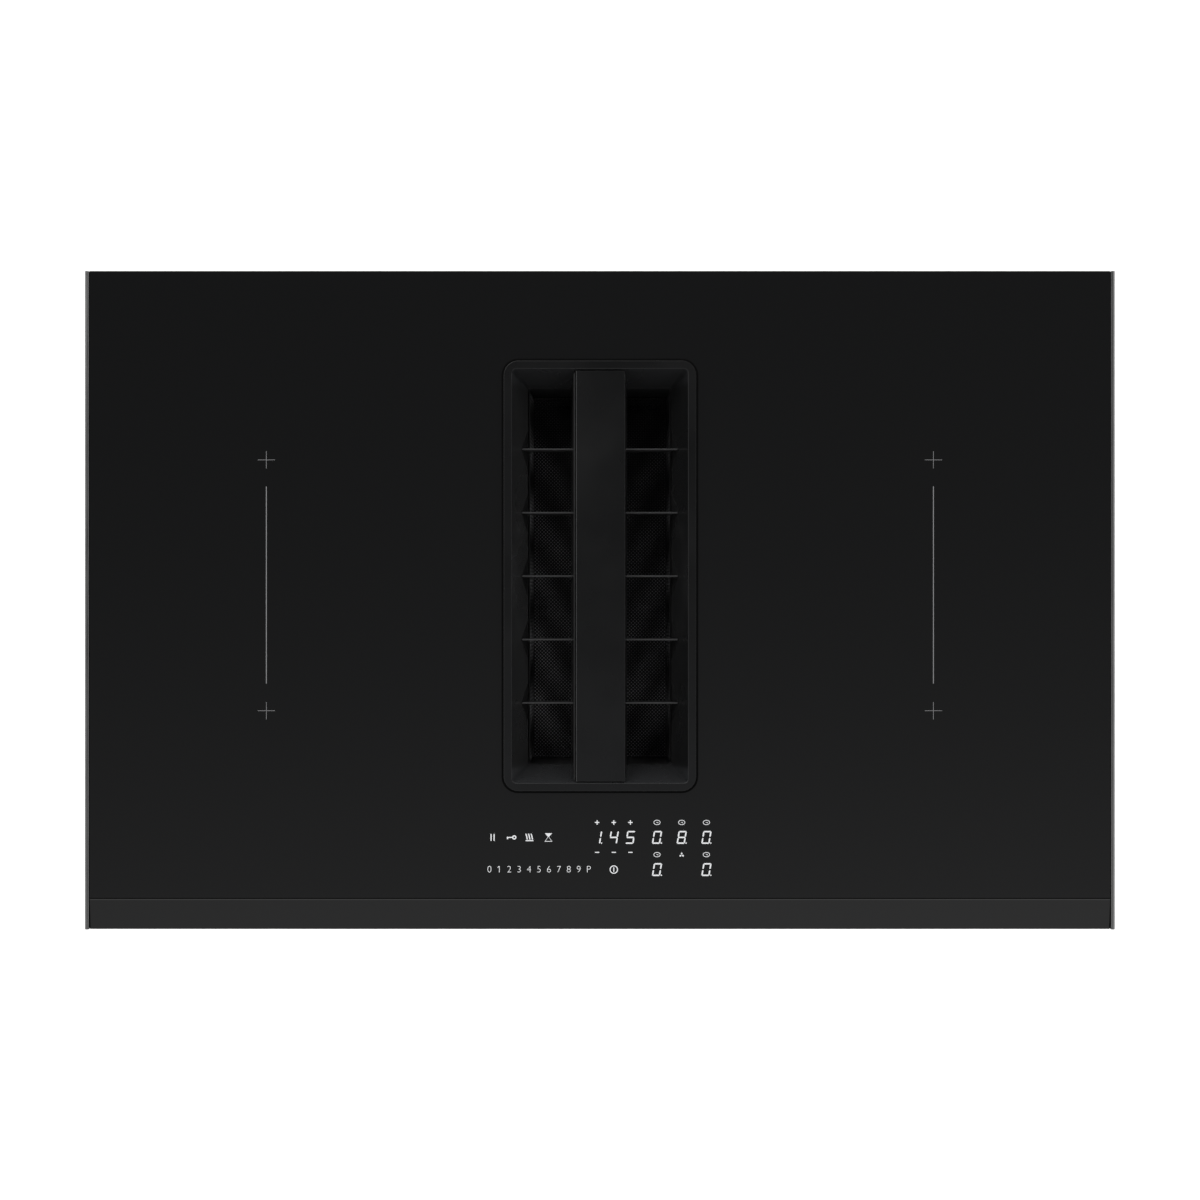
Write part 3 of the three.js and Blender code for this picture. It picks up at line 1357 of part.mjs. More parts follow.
for (const [name, side] of SIDES) {
  place(group(), `coil_plate_${name}`, coilPlate(side), aluminium);
  for (const [row, y] of [
    ["rear", ZONE_REAR_Y],
    ["front", ZONE_FRONT_Y],
  ]) {
    const zone = group(side * ZONE_X, y);
    place(zone, `coil_winding_${row}_${name}`, coilWinding(), copperWire);
    place(zone, `coil_carrier_${row}_${name}`, coilCarrier(), whitePlastic);
    place(zone, `coil_sensor_${row}_${name}`, coilSensor(), paleCeramic);
  }
  const board = group(side * (FAN_X - BOARD_TO_FAN), BOARD_BACK - BOARD_DEPTH / 2, TRAY_FLOOR);
  place(board, `power_board_${name}`, powerBoard(), greenBoard);
  const fan = group(side * FAN_X, FAN_Y, TRAY_FLOOR);
  place(fan, `cooling_fan_housing_${name}`, coolingFanHousing(), blackPlastic);
  place(fan, `cooling_fan_rotor_${name}`, coolingFanRotor(), blackPlastic);
  place(group(side * FAN_X, SINK_Y, TRAY_FLOOR), `heat_sink_${name}`, heatSink(), aluminium);
}

const controls = group(0, CONTROL_Y);
place(controls, "control_light_guide", lightGuide(), whitePlastic);
place(controls, "control_board", controlBoard(), greenBoard);
place(controls, "control_bracket", controlBracket(), blackPlastic);

const below = group();
place(below, "fan_case", fanCase(), blackPlastic);
place(below, "bottom_cover", bottomCover(), zincSheet);
place(group(0, VENT_Y), "drip_tray", dripTray(), blackPlastic);

const blower = group(BLOWER_X, BLOWER_Y);
place(blower, "blower_scroll", blowerScroll(), blackPlastic);
place(blower, "blower_scroll_cover", scrollCover(), blackPlastic);
place(blower, "blower_wheel", blowerWheel(), whitePlastic);
place(blower, "motor_can", motorCan(), aluminium);
place(blower, "motor_shaft", motorShaft(), trimSteel);
place(blower, "motor_bracket", motorBracket(), zincSheet);
for (const [row, y] of [
  ["rear", MOUNT_SPREAD_Y],
  ["front", -MOUNT_SPREAD_Y],
]) {
  for (const [name, side] of SIDES) {
    const spot = group(BLOWER_X + side * MOUNT_SPREAD_X, BLOWER_Y + y);
    place(spot, `blower_mount_${row}_${name}`, blowerMount(), rubber);
  }
}

place(below, "outlet_collar", outletCollar(), blackPlastic);
place(below, "outlet_louvre_upper", outletLouvre(0), blackPlastic);
place(below, "outlet_louvre_lower", outletLouvre(1), blackPlastic);

place(group(GLAND_X, GLAND_Y), "cable_gland", cableGland(), blackPlastic);
const terminals = group(GLAND_X + TERMINAL_TO_GLAND + TERMINAL_WIDTH / 2, GLAND_Y, TRAY_FLOOR);
place(terminals, "terminal_block", terminalBlock(), paleCeramic);
for (const [row, y] of [
  ["rear", CLIP_Y],
  ["front", -CLIP_Y],
]) {
  for (const [name, side] of SIDES) {
    place(group(0, y), `worktop_clip_${row}_${name}`, worktopClip(side), zincSheet);
  }
}

export default cooktop;
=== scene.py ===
"""Dresses the packed downdraft induction cooktop: glass, marks, vent, filter, metal, plastics and light."""

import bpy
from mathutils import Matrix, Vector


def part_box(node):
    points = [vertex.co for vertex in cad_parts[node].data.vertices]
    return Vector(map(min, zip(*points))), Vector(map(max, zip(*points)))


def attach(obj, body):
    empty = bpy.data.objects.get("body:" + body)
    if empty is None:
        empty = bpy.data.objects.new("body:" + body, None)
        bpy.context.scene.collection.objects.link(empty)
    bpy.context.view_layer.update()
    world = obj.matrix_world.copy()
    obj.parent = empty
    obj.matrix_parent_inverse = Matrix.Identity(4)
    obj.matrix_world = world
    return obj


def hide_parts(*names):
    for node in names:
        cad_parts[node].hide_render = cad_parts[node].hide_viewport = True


bl_info = {
    "name": "Downdraft Induction Cooktop",
    "version": (1, 0, 0),
    "blender": (4, 5, 0),
    "location": "3D View > Sidebar > Cooktop",
    "description": "Builds the finished look of a downdraft induction cooktop round its packed frame",
    "category": "Object",
}

import math

import bmesh
import bpy
from bpy.props import FloatProperty, FloatVectorProperty, PointerProperty
from mathutils import Matrix, Vector

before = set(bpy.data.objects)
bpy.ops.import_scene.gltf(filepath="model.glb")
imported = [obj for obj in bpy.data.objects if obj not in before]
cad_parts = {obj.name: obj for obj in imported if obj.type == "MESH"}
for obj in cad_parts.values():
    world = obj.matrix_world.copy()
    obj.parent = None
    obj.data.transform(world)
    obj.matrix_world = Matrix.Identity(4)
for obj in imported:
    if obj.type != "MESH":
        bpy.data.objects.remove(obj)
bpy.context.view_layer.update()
MM = 0.001
NEAR = 1e-6
UP = (0.0, 0.0, 1.0)
DOWN = (0.0, 0.0, -1.0)
SIDES = (("left", -1), ("right", 1))
ROWS = ("rear", "front")
HOUSING = "housing"
SHARP_EDGE = math.radians(35)
WELD_REACH = 0.2e-6


# ---- Sizes and colours that a user may change ----


def length(name, description, default):
    return FloatProperty(name=name, description=description, default=default, unit="LENGTH", precision=5)


def colour(name, description, default):
    return FloatVectorProperty(
        name=name, description=description, default=default, subtype="COLOR", size=3, min=0.0, max=1.0
    )


def amount(name, description, default):
    return FloatProperty(name=name, description=description, default=default, min=0.0)


class CooktopSizes(bpy.types.PropertyGroup):
    """Fine sizes that the frame leaves open"""

    glass_edge: length("Glass edge", "Width of the ground edge all round the glass", 0.25 * MM)
    facet_width: length("Facet width", "Depth of the sloping band along the front of the glass", 24.15 * MM)
    facet_drop: length("Facet drop", "How much lower the glass is at its front edge", 2.2 * MM)
    facet_ridge: length("Facet ridge", "Width of the fine ground line behind the facet", 0.8 * MM)
    # Painted shade: a dark strip behind the facet stands in for the shade along its upper edge.
    facet_shade_line: length("Facet line", "Width of the dark line behind the facet", 0.85 * MM)
    print_height: length("Print height", "Thickness of the marks on the glass", 0.04 * MM)
    mark_width: length("Mark width", "Width of the line that joins two zones", 0.64 * MM)
    cross_width: length("Cross width", "Line width of the zone crosses", 0.35 * MM)
    cross_arm: length("Cross arm", "Half length of a zone cross", 6.8 * MM)
    stroke: length("Display stroke", "Width of a display figure's segments", 1.12 * MM)
    figure_height: length("Figure height", "Height of a display figure", 10.2 * MM)
    figure_width: length("Figure width", "Width of a display figure", 6.6 * MM)
    number_height: length("Number height", "Height of the slider's numbers", 5.6 * MM)
    number_thinning: length("Number thinning", "How far the slider's numbers draw in", 0.14 * MM)
    mesh_pitch: length("Mesh pitch", "Distance between the filter's wires", 2.08 * MM)
    mesh_wire: length("Mesh wire", "Width of the filter's wires", 0.8 * MM)
    rim_edge: length("Rim edge", "Rounding of the vent frame's rim", 0.45 * MM)
    sheet_edge: length("Sheet edge", "Rounding of folded sheet metal", 0.4 * MM)
    mould_edge: length("Mould edge", "Rounding of moulded plastic", 0.6 * MM)


class CooktopColours(bpy.types.PropertyGroup):
    """Colours of the finishes"""

    glass: colour("Glass", "Body of the glass", (0.0028, 0.0029, 0.0031))
    marks: colour("Marks", "Zone marks printed on the glass", (0.18, 0.18, 0.185))
    lit: colour("Lit", "Lit signs and figures below the glass", (0.57, 0.578, 0.586))
    steel: colour("Steel", "Satin stainless steel", (0.22, 0.22, 0.22))
    coating: colour("Coating", "Satin black coating on the vent", (0.0024, 0.0025, 0.0027))
    fins: colour("Fins", "Satin grey coating on the grille's fins", (0.02, 0.0202, 0.021))
    # Painted highlight: a paler colour on the left edge of the bar's cover.
    painted_highlight_edge: colour("Bright edge", "Painted highlight on the left edge of the bar's cover", (0.05, 0.05, 0.052))
    mesh: colour("Mesh", "Steel of the grease filter", (0.36, 0.36, 0.37))
    flank: colour("Flank", "Greasy steel of the filter's upright sides", (0.36, 0.36, 0.37))
    zinc: colour("Zinc", "Zinc-coated sheet", (0.42, 0.435, 0.45))
    aluminium: colour("Aluminium", "Plain aluminium", (0.72, 0.73, 0.75))
    copper: colour("Copper", "Lacquered copper wire", (0.55, 0.24, 0.1))
    plastic: colour("Black plastic", "Moulded black plastic", (0.016, 0.0163, 0.017))
    white_plastic: colour("White plastic", "Moulded off-white plastic", (0.62, 0.62, 0.58))
    board: colour("Circuit board", "Solder mask of the boards", (0.02, 0.12, 0.05))
    sleeve: colour("Capacitor sleeve", "Dark sleeve of the capacitors", (0.03, 0.04, 0.09))
    ferrite: colour("Ferrite", "Dark grey ferrite", (0.06, 0.06, 0.065))
    brass: colour("Brass", "Terminal screws and inserts", (0.7, 0.5, 0.22))
    ceramic: colour("Ceramic", "Unglazed ceramic", (0.7, 0.66, 0.58))
    rubber: colour("Rubber", "Black rubber and sealing tape", (0.012, 0.012, 0.012))
    # Painted shadow: the dark sheets on the slopes under the fins' ends.
    pad: colour("Fin shadows", "Painted shadow under the fins' ends", (0.004, 0.004, 0.0042))
    gasket: colour("Gasket", "Matt gasket round the vent frame", (0.002, 0.002, 0.002))


class CooktopStudio(bpy.types.PropertyGroup):
    """Camera and light"""

    camera_height: length("Camera height", "Height of the camera above the glass", 1.4)
    frame_width: length("Frame width", "Width of the picture at the glass", 0.9473)
    zenith: amount("Zenith", "Brightness of the sky overhead", 0.194)
    sides: amount("Sides", "Brightness of the sky all round", 1.2)
    key: amount("Key light", "Power of the soft key light in watts", 14.0)
    floor: colour("Floor", "Pale floor", (0.93, 0.93, 0.93))
    floor_drop: length("Floor drop", "Room below the base, into which the drip tray drops", 48 * MM)
    floor_glow: amount("Floor glow", "Light that the floor gives off, like lit studio paper", 0.55)


# ---- Shapes ----


def bevelled(bm, geom, width, steps, affect="EDGES"):
    """Cuts edges or corners back by a width, in one or more steps."""
    return bmesh.ops.bevel(
        bm, geom=geom, affect=affect, offset=width, segments=steps, profile=0.5, material=-1
    )


def cut(bm, point, normal, near=0.0, clear_outer=False):
    """Cuts everything along a plane. Gives back the edges in the cut."""
    every = bm.verts[:] + bm.edges[:] + bm.faces[:]
    made = bmesh.ops.bisect_plane(
        bm, geom=every, dist=near, plane_co=point, plane_no=normal, clear_outer=clear_outer
    )
    return [item for item in made["geom_cut"] if isinstance(item, bmesh.types.BMEdge)]


def rounded_face(bm, half_x, half_y, radius, z, centre=(0.0, 0.0), steps=6):
    """A flat rounded rectangle, as one face."""
    place = Matrix.Translation((centre[0], centre[1], z)) @ Matrix.Diagonal((half_x, half_y, 1.0, 1.0))
    corners = bmesh.ops.create_grid(bm, x_segments=1, y_segments=1, size=1.0, matrix=place)["verts"]
    face = corners[0].link_faces[0]
    if radius > 0.0:
        face = bevelled(bm, corners, radius, steps, "VERTICES")["verts"][0].link_faces[0]
    return face


def rounded_loop(bm, half_x, half_y, radius, z, centre=(0.0, 0.0), steps=6):
    """The outline of a rounded rectangle, as a closed loop of edges."""
    face = rounded_face(bm, half_x, half_y, radius, z, centre, steps)
    edges = list(face.edges)
    bmesh.ops.delete(bm, geom=[face], context="FACES_ONLY")
    return edges


def loft(bm, sections, closed=True, centre=(0.0, 0.0), steps=6):
    """Skins rounded rectangles (half_x, half_y, radius, z). No two neighbours lie in one plane."""
    loops = [rounded_loop(bm, *section, centre=centre, steps=steps) for section in sections]
    following = loops[1:] + loops[:1] if closed else loops[1:]
    for loop, upper in zip(loops, following):
        bmesh.ops.bridge_loops(bm, edges=loop + upper)
    if not closed:
        bmesh.ops.edgeloop_fill(bm, edges=loops[0])
        bmesh.ops.edgeloop_fill(bm, edges=loops[-1])


def raise_faces(bm, faces, offset):
    """Gives flat faces a thickness. Gives back the raised faces."""
    made = bmesh.ops.extrude_face_region(bm, geom=faces)["geom"]
    moved = [item for item in made if isinstance(item, bmesh.types.BMVert)]
    bmesh.ops.translate(bm, verts=moved, vec=offset)
    return [item for item in made if isinstance(item, bmesh.types.BMFace)]


def block(bm, low, high, turn=None):
    """A box between two corners, turned about its own centre where a matrix is given."""
    low, high = Vector(low), Vector(high)
    place = Matrix.Translation((low + high) / 2)
    if turn is not None:
        place = place @ turn
    place = place @ Matrix.Diagonal((*(high - low), 1.0))
    bmesh.ops.create_cube(bm, size=1.0, matrix=place)


def block_round(bm, middle, half_size, turn=None):
    """A box round a middle."""
    middle, half_size = Vector(middle), Vector(half_size)
    block(bm, middle - half_size, middle + half_size, turn)


def rod(bm, radius, start, end, segments=24, end_radius=None):
    """A round rod, or a cone, between two points."""
    start, end = Vector(start), Vector(end)
    along = end - start
    place = Matrix.Translation((start + end) / 2) @ along.to_track_quat("Z", "Y").to_matrix().to_4x4()
    return bmesh.ops.create_cone(
        bm,
        cap_ends=True,
        segments=segments,
        radius1=radius,
        radius2=radius if end_radius is None else end_radius,
        depth=along.length,
        matrix=place,
    )["verts"]


SCREW_RADIUS = 2.6 * MM
SMALL_SCREW = 2.2 * MM
MIDDLE_SCREW = 2.4 * MM
SCREW_HEIGHT = 1.1 * MM
SCREW_SUNK = 0.2
SCREW_TOP = 0.78
SCREW_LIP = 0.34
SOCKET_DEPTH = 0.6


def screw_head(bm, centre, axis, radius=SCREW_RADIUS):
    """A tapered screw head with a round socket, standing on its seat."""
    centre, axis = Vector(centre), Vector(axis)
    seat, end = centre - axis * SCREW_HEIGHT * SCREW_SUNK, centre + axis * SCREW_HEIGHT
    head = rod(bm, radius, seat, end, 18, radius * SCREW_TOP)
    faces = {face for vert in head for face in vert.link_faces}
    top = max(faces, key=lambda face: face.calc_center_median().dot(axis))
    bmesh.ops.inset_region(bm, faces=[top], thickness=radius * SCREW_LIP, use_even_offset=True)
    bmesh.ops.translate(bm, verts=list(top.verts), vec=-axis * SCREW_HEIGHT * SOCKET_DEPTH)


def screws(name, finish, places, axis, radius=SCREW_RADIUS):
    """Screw heads at places on the housing, as one piece."""
    bm = bmesh.new()
    for place in places:
        screw_head(bm, place, axis, radius)
    piece(bm, name, HOUSING, finish, weld=False)


def corners_of(centre, half_x, half_y, z):
    """Four places at the corners of a rectangle."""
    return [(centre[0] + i * half_x, centre[1] + j * half_y, z) for _, i in SIDES for _, j in SIDES]


def evenly(start, end, count):
    """Evenly spaced values from start to end."""
    return [start + (end - start) * index / (count - 1) for index in range(count)]


def round_about(count, start=0.0):
    """Evenly spaced angles of a full turn, in radians, from a start in degrees."""
    return [math.radians(start) + math.tau * index / count for index in range(count)]


def piece(bm, name, body, finish, replaced=(), edge=0.0, steps=2, weld=True, sharp=28):
    """Turns a bmesh into a finished object that moves with its body.

    replaced: the CAD nodes that it stands for. edge, steps: rounding of its sharp edges.
    weld: whether corners in one place become one. sharp: the least angle of a hard edge, in degrees.
    """
    if weld:
        bmesh.ops.remove_doubles(bm, verts=bm.verts, dist=WELD_REACH)
    bmesh.ops.recalc_face_normals(bm, faces=bm.faces)
    mesh = bpy.data.meshes.new(name)
    bm.to_mesh(mesh)
    bm.free()
    mesh.materials.append(finish)
    mesh.polygons.foreach_set("use_smooth", [True] * len(mesh.polygons))
    mesh.set_sharp_from_angle(angle=math.radians(sharp))
    made = bpy.data.objects.new(name, mesh)
    bpy.context.scene.collection.objects.link(made)
    if edge > 0.0:
        soften(made, edge, steps)
    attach(made, body)
    if replaced:
        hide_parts(*replaced)
    return made


def soften(made, width, steps=2):
    """Rounds the sharp edges of a piece."""
    bevel = made.modifiers.new("Edges", "BEVEL")
    bevel.width = width
    bevel.segments = steps
    bevel.limit_method = "ANGLE"
    bevel.angle_limit = SHARP_EDGE
    bevel.harden_normals = True


RIGHT_SHARE = 0.2


def sharpen_right(made):
    """Gives the sharp edges that face right only a share of a piece's rounding."""
    bm = bmesh.new()
    bm.from_mesh(made.data)
    weight = bm.edges.layers.float.new("bevel_weight_edge")
    for edge in bm.edges:
        if len(edge.link_faces) == 2 and edge.calc_face_angle() > SHARP_EDGE:
            facing = (edge.link_faces[0].normal + edge.link_faces[1].normal).normalized()
            rightward = min(max(facing.x * 2.0, 0.0), 1.0)
            edge[weight] = 1.0 + (RIGHT_SHARE - 1.0) * rightward
    bm.to_mesh(made.data)
    bm.free()
    made.modifiers["Edges"].limit_method = "WEIGHT"


def dress(finish, *nodes, edge=0.0):
    """Gives CAD nodes their finish, and their sharp edges a small rounding."""
    for node in nodes:
        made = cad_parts[node]
        made.data.materials.clear()
        made.data.materials.append(finish)
        if edge > 0.0:
            weld = made.modifiers.new("Weld", "WELD")
            weld.merge_threshold = NEAR
            soften(made, edge)


def box(node):
    """A CAD node's lowest corner, highest corner and middle."""
    low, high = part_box(node)
    return low, high, (low + high) / 2


# ---- Finishes ----

BROAD_CLOUDS = 14.0
EVEN_SCALE = (1.0, 1.0, 1.0)
FINE_COAT = {"grain": 1500.0, "depth": 0.003 * MM}

# Painted light on the vent's coating and its slopes, which makes them paler along Y: from the first place to
# the second.
FRONT_PAINTED_LIGHT = (-145 * MM, -10 * MM)
FRONT_SLOPE_LIGHT = (-131 * MM, -134 * MM)
REAR_SLOPE_LIGHT = (169 * MM, 173 * MM)

# Painted shade on the filter mesh: the pitch of its painted folds, how far they sweep back beside the
# middle, where it darkens towards the rear, and the strip on the left where painted light makes it paler.
FOLD_SHADE_PITCH = 53 * MM
FOLD_SHADE_SWEEP = -1.6
FOLD_SHADE_START = 85 * MM
REAR_SHADE_REACH = (-140 * MM, 150 * MM)
LIT_STRIP = (-50 * MM, -30 * MM)
SPANGLE_SCALE = 170.0
TRACK_SCALE = 110.0


def start_finish(name, base, roughness, metallic=0.0):
    """A new material with its main values set. Gives back the material, its tree and its shader."""
    made = bpy.data.materials.new(name)
    made.use_nodes = True
    tree = made.node_tree
    shader = tree.nodes["Principled BSDF"]
    shader.inputs["Base Color"].default_value = (*base, 1.0)
    shader.inputs["Roughness"].default_value = roughness
    shader.inputs["Metallic"].default_value = metallic
    return made, tree, shader


def set_gloss(made, specular, **sheen):
    """Sets how strongly a finish mirrors, and the weight and roughness of its sheen."""
    inputs = made.node_tree.nodes["Principled BSDF"].inputs
    inputs["Specular IOR Level"].default_value = specular
    for name, value in sheen.items():
        inputs[f"Sheen {name.title()}"].default_value = value
    return made


def object_place(tree, scale=EVEN_SCALE, shift=(0.0, 0.0, 0.0)):
    """Object coordinates, drawn out by a scale along each axis and shifted."""
    place = tree.nodes.new("ShaderNodeTexCoord")
    mapping = tree.nodes.new("ShaderNodeMapping")
    mapping.inputs["Scale"].default_value = scale
    mapping.inputs["Location"].default_value = shift
    tree.links.new(place.outputs["Object"], mapping.inputs["Vector"])
    return mapping.outputs["Vector"]


def axes(tree, vector):
    """The three parts of a vector."""
    made = tree.nodes.new("ShaderNodeSeparateXYZ")
    tree.links.new(vector, made.inputs["Vector"])
    return made.outputs["X"], made.outputs["Y"], made.outputs["Z"]


def noise(tree, vector, scale, detail=3.0):
    """Soft clouds from 0 to 1."""
    made = tree.nodes.new("ShaderNodeTexNoise")
    made.inputs["Scale"].default_value = scale
    made.inputs["Detail"].default_value = detail
    tree.links.new(vector, made.inputs["Vector"])
    return made.outputs["Fac"]


def spread(tree, value, low, high, start=0.3, end=0.7):
    """Goes from low to high while the value goes from start to end."""
    made = tree.nodes.new("ShaderNodeMapRange")
    made.inputs["From Min"].default_value = start
    made.inputs["From Max"].default_value = end
    made.inputs["To Min"].default_value = low
    made.inputs["To Max"].default_value = high
    tree.links.new(value, made.inputs["Value"])
    return made.outputs["Result"]


def shade(tree, shader, value, base, darker, lighter):
    """Colours a finish between a darker and a lighter share of its base, as a value goes from 0 to 1."""
    made = tree.nodes.new("ShaderNodeMix")
    made.data_type = "RGBA"
    made.inputs["A"].default_value = (*(c * darker for c in base), 1.0)
    made.inputs["B"].default_value = (*(min(c * lighter, 1.0) for c in base), 1.0)
    tree.links.new(value, made.inputs["Factor"])
    tree.links.new(made.outputs["Result"], shader.inputs["Base Color"])


def roughen(tree, shader, value, low, high, start=0.3, end=0.7):
    """Takes a finish's roughness from low to high while a value goes from start to end."""
    tree.links.new(spread(tree, value, low, high, start, end), shader.inputs["Roughness"])


def emboss(tree, shader, height, distance):
    """Bumps a finish by a height from 0 to 1, at a distance."""
    made = tree.nodes.new("ShaderNodeBump")
    made.inputs["Strength"].default_value = 1.0
    made.inputs["Distance"].default_value = distance
    tree.links.new(height, made.inputs["Height"])
    tree.links.new(made.outputs["Normal"], shader.inputs["Normal"])


def maths(tree, operation, *values):
    """A math node. Values are sockets or numbers."""
    made = tree.nodes.new("ShaderNodeMath")
    made.operation = operation
    for socket, value in zip(made.inputs, values):
        if isinstance(value, bpy.types.NodeSocket):
            tree.links.new(value, socket)
        else:
            socket.default_value = value
    return made.outputs["Value"]


def product(tree, first, *others):
    """All values multiplied together."""
    for value in others:
        first = maths(tree, "MULTIPLY", first, value)
    return first


def wave(tree, value, pitch, swing, middle):
    """A cosine along a value, which swings to either side of a middle once for each pitch."""
    turned = maths(tree, "MULTIPLY", value, math.tau / pitch)
    return maths(tree, "MULTIPLY_ADD", maths(tree, "COSINE", turned), swing, middle)


def black_glass(colours):
    """Glass ceramic with faint smudges."""
    made, tree, shader = start_finish("Black Glass", colours.glass, 0.06)
    shader.inputs["IOR"].default_value = 1.5
    smudges = noise(tree, object_place(tree), 9.0)
    roughen(tree, shader, smudges, 0.045, 0.085)
    return made


def printed_grey(colours):
    """Fired enamel with a speckle."""
    made, tree, shader = start_finish("Printed Grey", colours.marks, 0.55)
    speckle = noise(tree, object_place(tree), 2600.0)
    shade(tree, shader, speckle, colours.marks, 0.85, 1.15)
    return made


def lit_white(colours):
    """Signs lit from below, not quite evenly."""
    made, tree, shader = start_finish("Lit White", colours.lit, 0.35)
    glow = noise(tree, object_place(tree), 900.0)
    shade(tree, shader, glow, colours.lit, 0.94, 1.06)
    shader.inputs["Emission Color"].default_value = (*colours.lit, 1.0)
    shader.inputs["Emission Strength"].default_value = 0.25
    return made


def brushed_metal(name, base, scale, roughness=0.3, depth=0.004 * MM):
    """Metal with fine lines along its least scale."""
    made, tree, shader = start_finish(name, base, roughness, 1.0)
    lines = noise(tree, object_place(tree, scale), 1.0, detail=5.0)
    shade(tree, shader, lines, base, 0.86, 1.1)
    roughen(tree, shader, lines, roughness - 0.07, roughness + 0.1)
    emboss(tree, shader, lines, depth)
    return made


def grained(name, base, roughness, grain=1600.0, depth=0.03 * MM):
    """A matt surface with a fine grain: moulded plastic, rubber or a baked coating."""
    made, tree, shader = start_finish(name, base, roughness)
    place = object_place(tree)
    fine = noise(tree, place, grain, detail=2.0)
    broad = noise(tree, place, BROAD_CLOUDS)
    shade(tree, shader, broad, base, 0.88, 1.12)
    roughen(tree, shader, broad, roughness - 0.05, roughness + 0.06)
    emboss(tree, shader, fine, depth)
    return made


def baked_coating(colours, name, sheen):
    """A baked coating that mirrors softly and is paler at a low angle."""
    made = grained(name, colours.coating, 0.28, **FINE_COAT)
    return set_gloss(made, 0.285, weight=sheen, roughness=0.45)


def satin_coating(colours):
    """The vent's coating, with painted light that makes it paler towards the front."""
    made = baked_coating(colours, "Satin Black Coating", 0.05)
    tree = made.node_tree
    place = object_place(tree)
    # Painted light: the coating's colour grows paler towards the front.
    front = spread(tree, axes(tree, place)[1], 1.0, 0.0, *FRONT_PAINTED_LIGHT)
    value = maths(tree, "MULTIPLY_ADD", noise(tree, place, BROAD_CLOUDS), 0.2, front)
    shade(tree, tree.nodes["Principled BSDF"], value, colours.coating, 0.9, 2.1)
    return made


def slope_coating(colours, name, sheen):
    """The coating on the vent's sloping walls, with painted light that makes its front and rear walls paler.
    """
    made = baked_coating(colours, name, sheen)
    tree = made.node_tree
    along = axes(tree, object_place(tree))[1]
    # Painted light: the front and rear walls are paler than the side walls.
    front = spread(tree, along, 0.0, 1.0, *FRONT_SLOPE_LIGHT)
    rear = spread(tree, along, 0.0, 0.6, *REAR_SLOPE_LIGHT)
    value = maths(tree, "ADD", front, rear)
    shade(tree, tree.nodes["Principled BSDF"], value, colours.coating, 1.0, 5.0)
    return made


def woven_wire(colours, pitch):
    """Wires crossed at 45 degrees, darkened in random patches by grease, with painted shade of shallow
    folds, painted shade towards the rear and painted light on the outer strip at the left.
    """
    made, tree, shader = start_finish("Woven Wire", colours.mesh, 0.34, 1.0)
    place = object_place(tree, shift=-box("filter_net")[2])
    x, y, _ = axes(tree, place)
    diagonal = pitch * math.sqrt(2)
    waves = [wave(tree, maths(tree, sign, x, y), diagonal, 0.5, 0.5) for sign in ("ADD", "SUBTRACT")]
    crossing = product(tree, *waves)
    grease = spread(tree, noise(tree, place, 26.0, detail=1.0), 0.7, 1.1)
    # Painted shade: darker towards the rear.
    rear_shade = spread(tree, y, 2.0, 0.25, *REAR_SHADE_REACH)
    # Painted light: paler on the outer strip at the left.
    outer = spread(tree, x, 1.5, 0.75, *LIT_STRIP)
    # Painted shade of shallow folds, at about the fins' pitch.
    swept = maths(tree, "MULTIPLY_ADD", maths(tree, "ABSOLUTE", x), FOLD_SHADE_SWEEP, FOLD_SHADE_START)
    fold_shade = wave(tree, maths(tree, "ADD", y, swept), FOLD_SHADE_PITCH, 0.32, 0.88)
    value = product(tree, crossing, crossing, grease, rear_shade, outer, fold_shade)
    shade(tree, shader, value, colours.mesh, 0.0, 1.95)
    emboss(tree, shader, crossing, 0.15 * MM)
    return made


def upright_wire(colours, pitch):
    """Crossed wires on the filter's upright sides, dulled by grease, with the painted fold shade of the flat
    mesh and painted shade on the right side.
    """
    made, tree, shader = start_finish("Upright Wire", colours.flank, 0.6, 0.2)
    x, y, _ = axes(tree, object_place(tree, shift=-box("filter_net")[2]))
    knots = wave(tree, y, pitch * math.sqrt(2), 0.35, 0.65)
    fold_shade = wave(tree, y, FOLD_SHADE_PITCH, 0.5, 0.58)
    # Painted shade: the right side is darker.
    right = spread(tree, x, 1.0, 0.35, -MM, MM)
    shade(tree, shader, product(tree, knots, fold_shade, right), colours.flank, 0.0, 1.0)
    emboss(tree, shader, knots, 0.1 * MM)
    return made


def spangled_zinc(colours):
    """Zinc-coated sheet with its crystal pattern."""
    made, tree, shader = start_finish("Zinc Sheet", colours.zinc, 0.4, 1.0)
    cells = tree.nodes.new("ShaderNodeTexVoronoi")
    cells.inputs["Scale"].default_value = SPANGLE_SCALE
    tree.links.new(object_place(tree), cells.inputs["Vector"])
    split = tree.nodes.new("ShaderNodeSeparateColor")
    tree.links.new(cells.outputs["Color"], split.inputs["Color"])
    crystal = split.outputs["Red"]
    shade(tree, shader, crystal, colours.zinc, 0.93, 1.05)
    roughen(tree, shader, crystal, 0.34, 0.46, 0.0, 1.0)
    return made


def circuit_board(colours):
    """Green solder mask with paler tracks."""
    made, tree, shader = start_finish("Circuit Board", colours.board, 0.42)
    tracks = tree.nodes.new("ShaderNodeTexBrick")
    tracks.inputs["Scale"].default_value = TRACK_SCALE
    tracks.inputs["Mortar Size"].default_value = 0.03
    for socket, share in (("Color1", 1.0), ("Color2", 0.8), ("Mortar", 2.1)):
        tracks.inputs[socket].default_value = (*(min(c * share, 1.0) for c in colours.board), 1.0)
    tree.links.new(object_place(tree), tracks.inputs["Vector"])
    tree.links.new(tracks.outputs["Color"], shader.inputs["Base Color"])
    return made


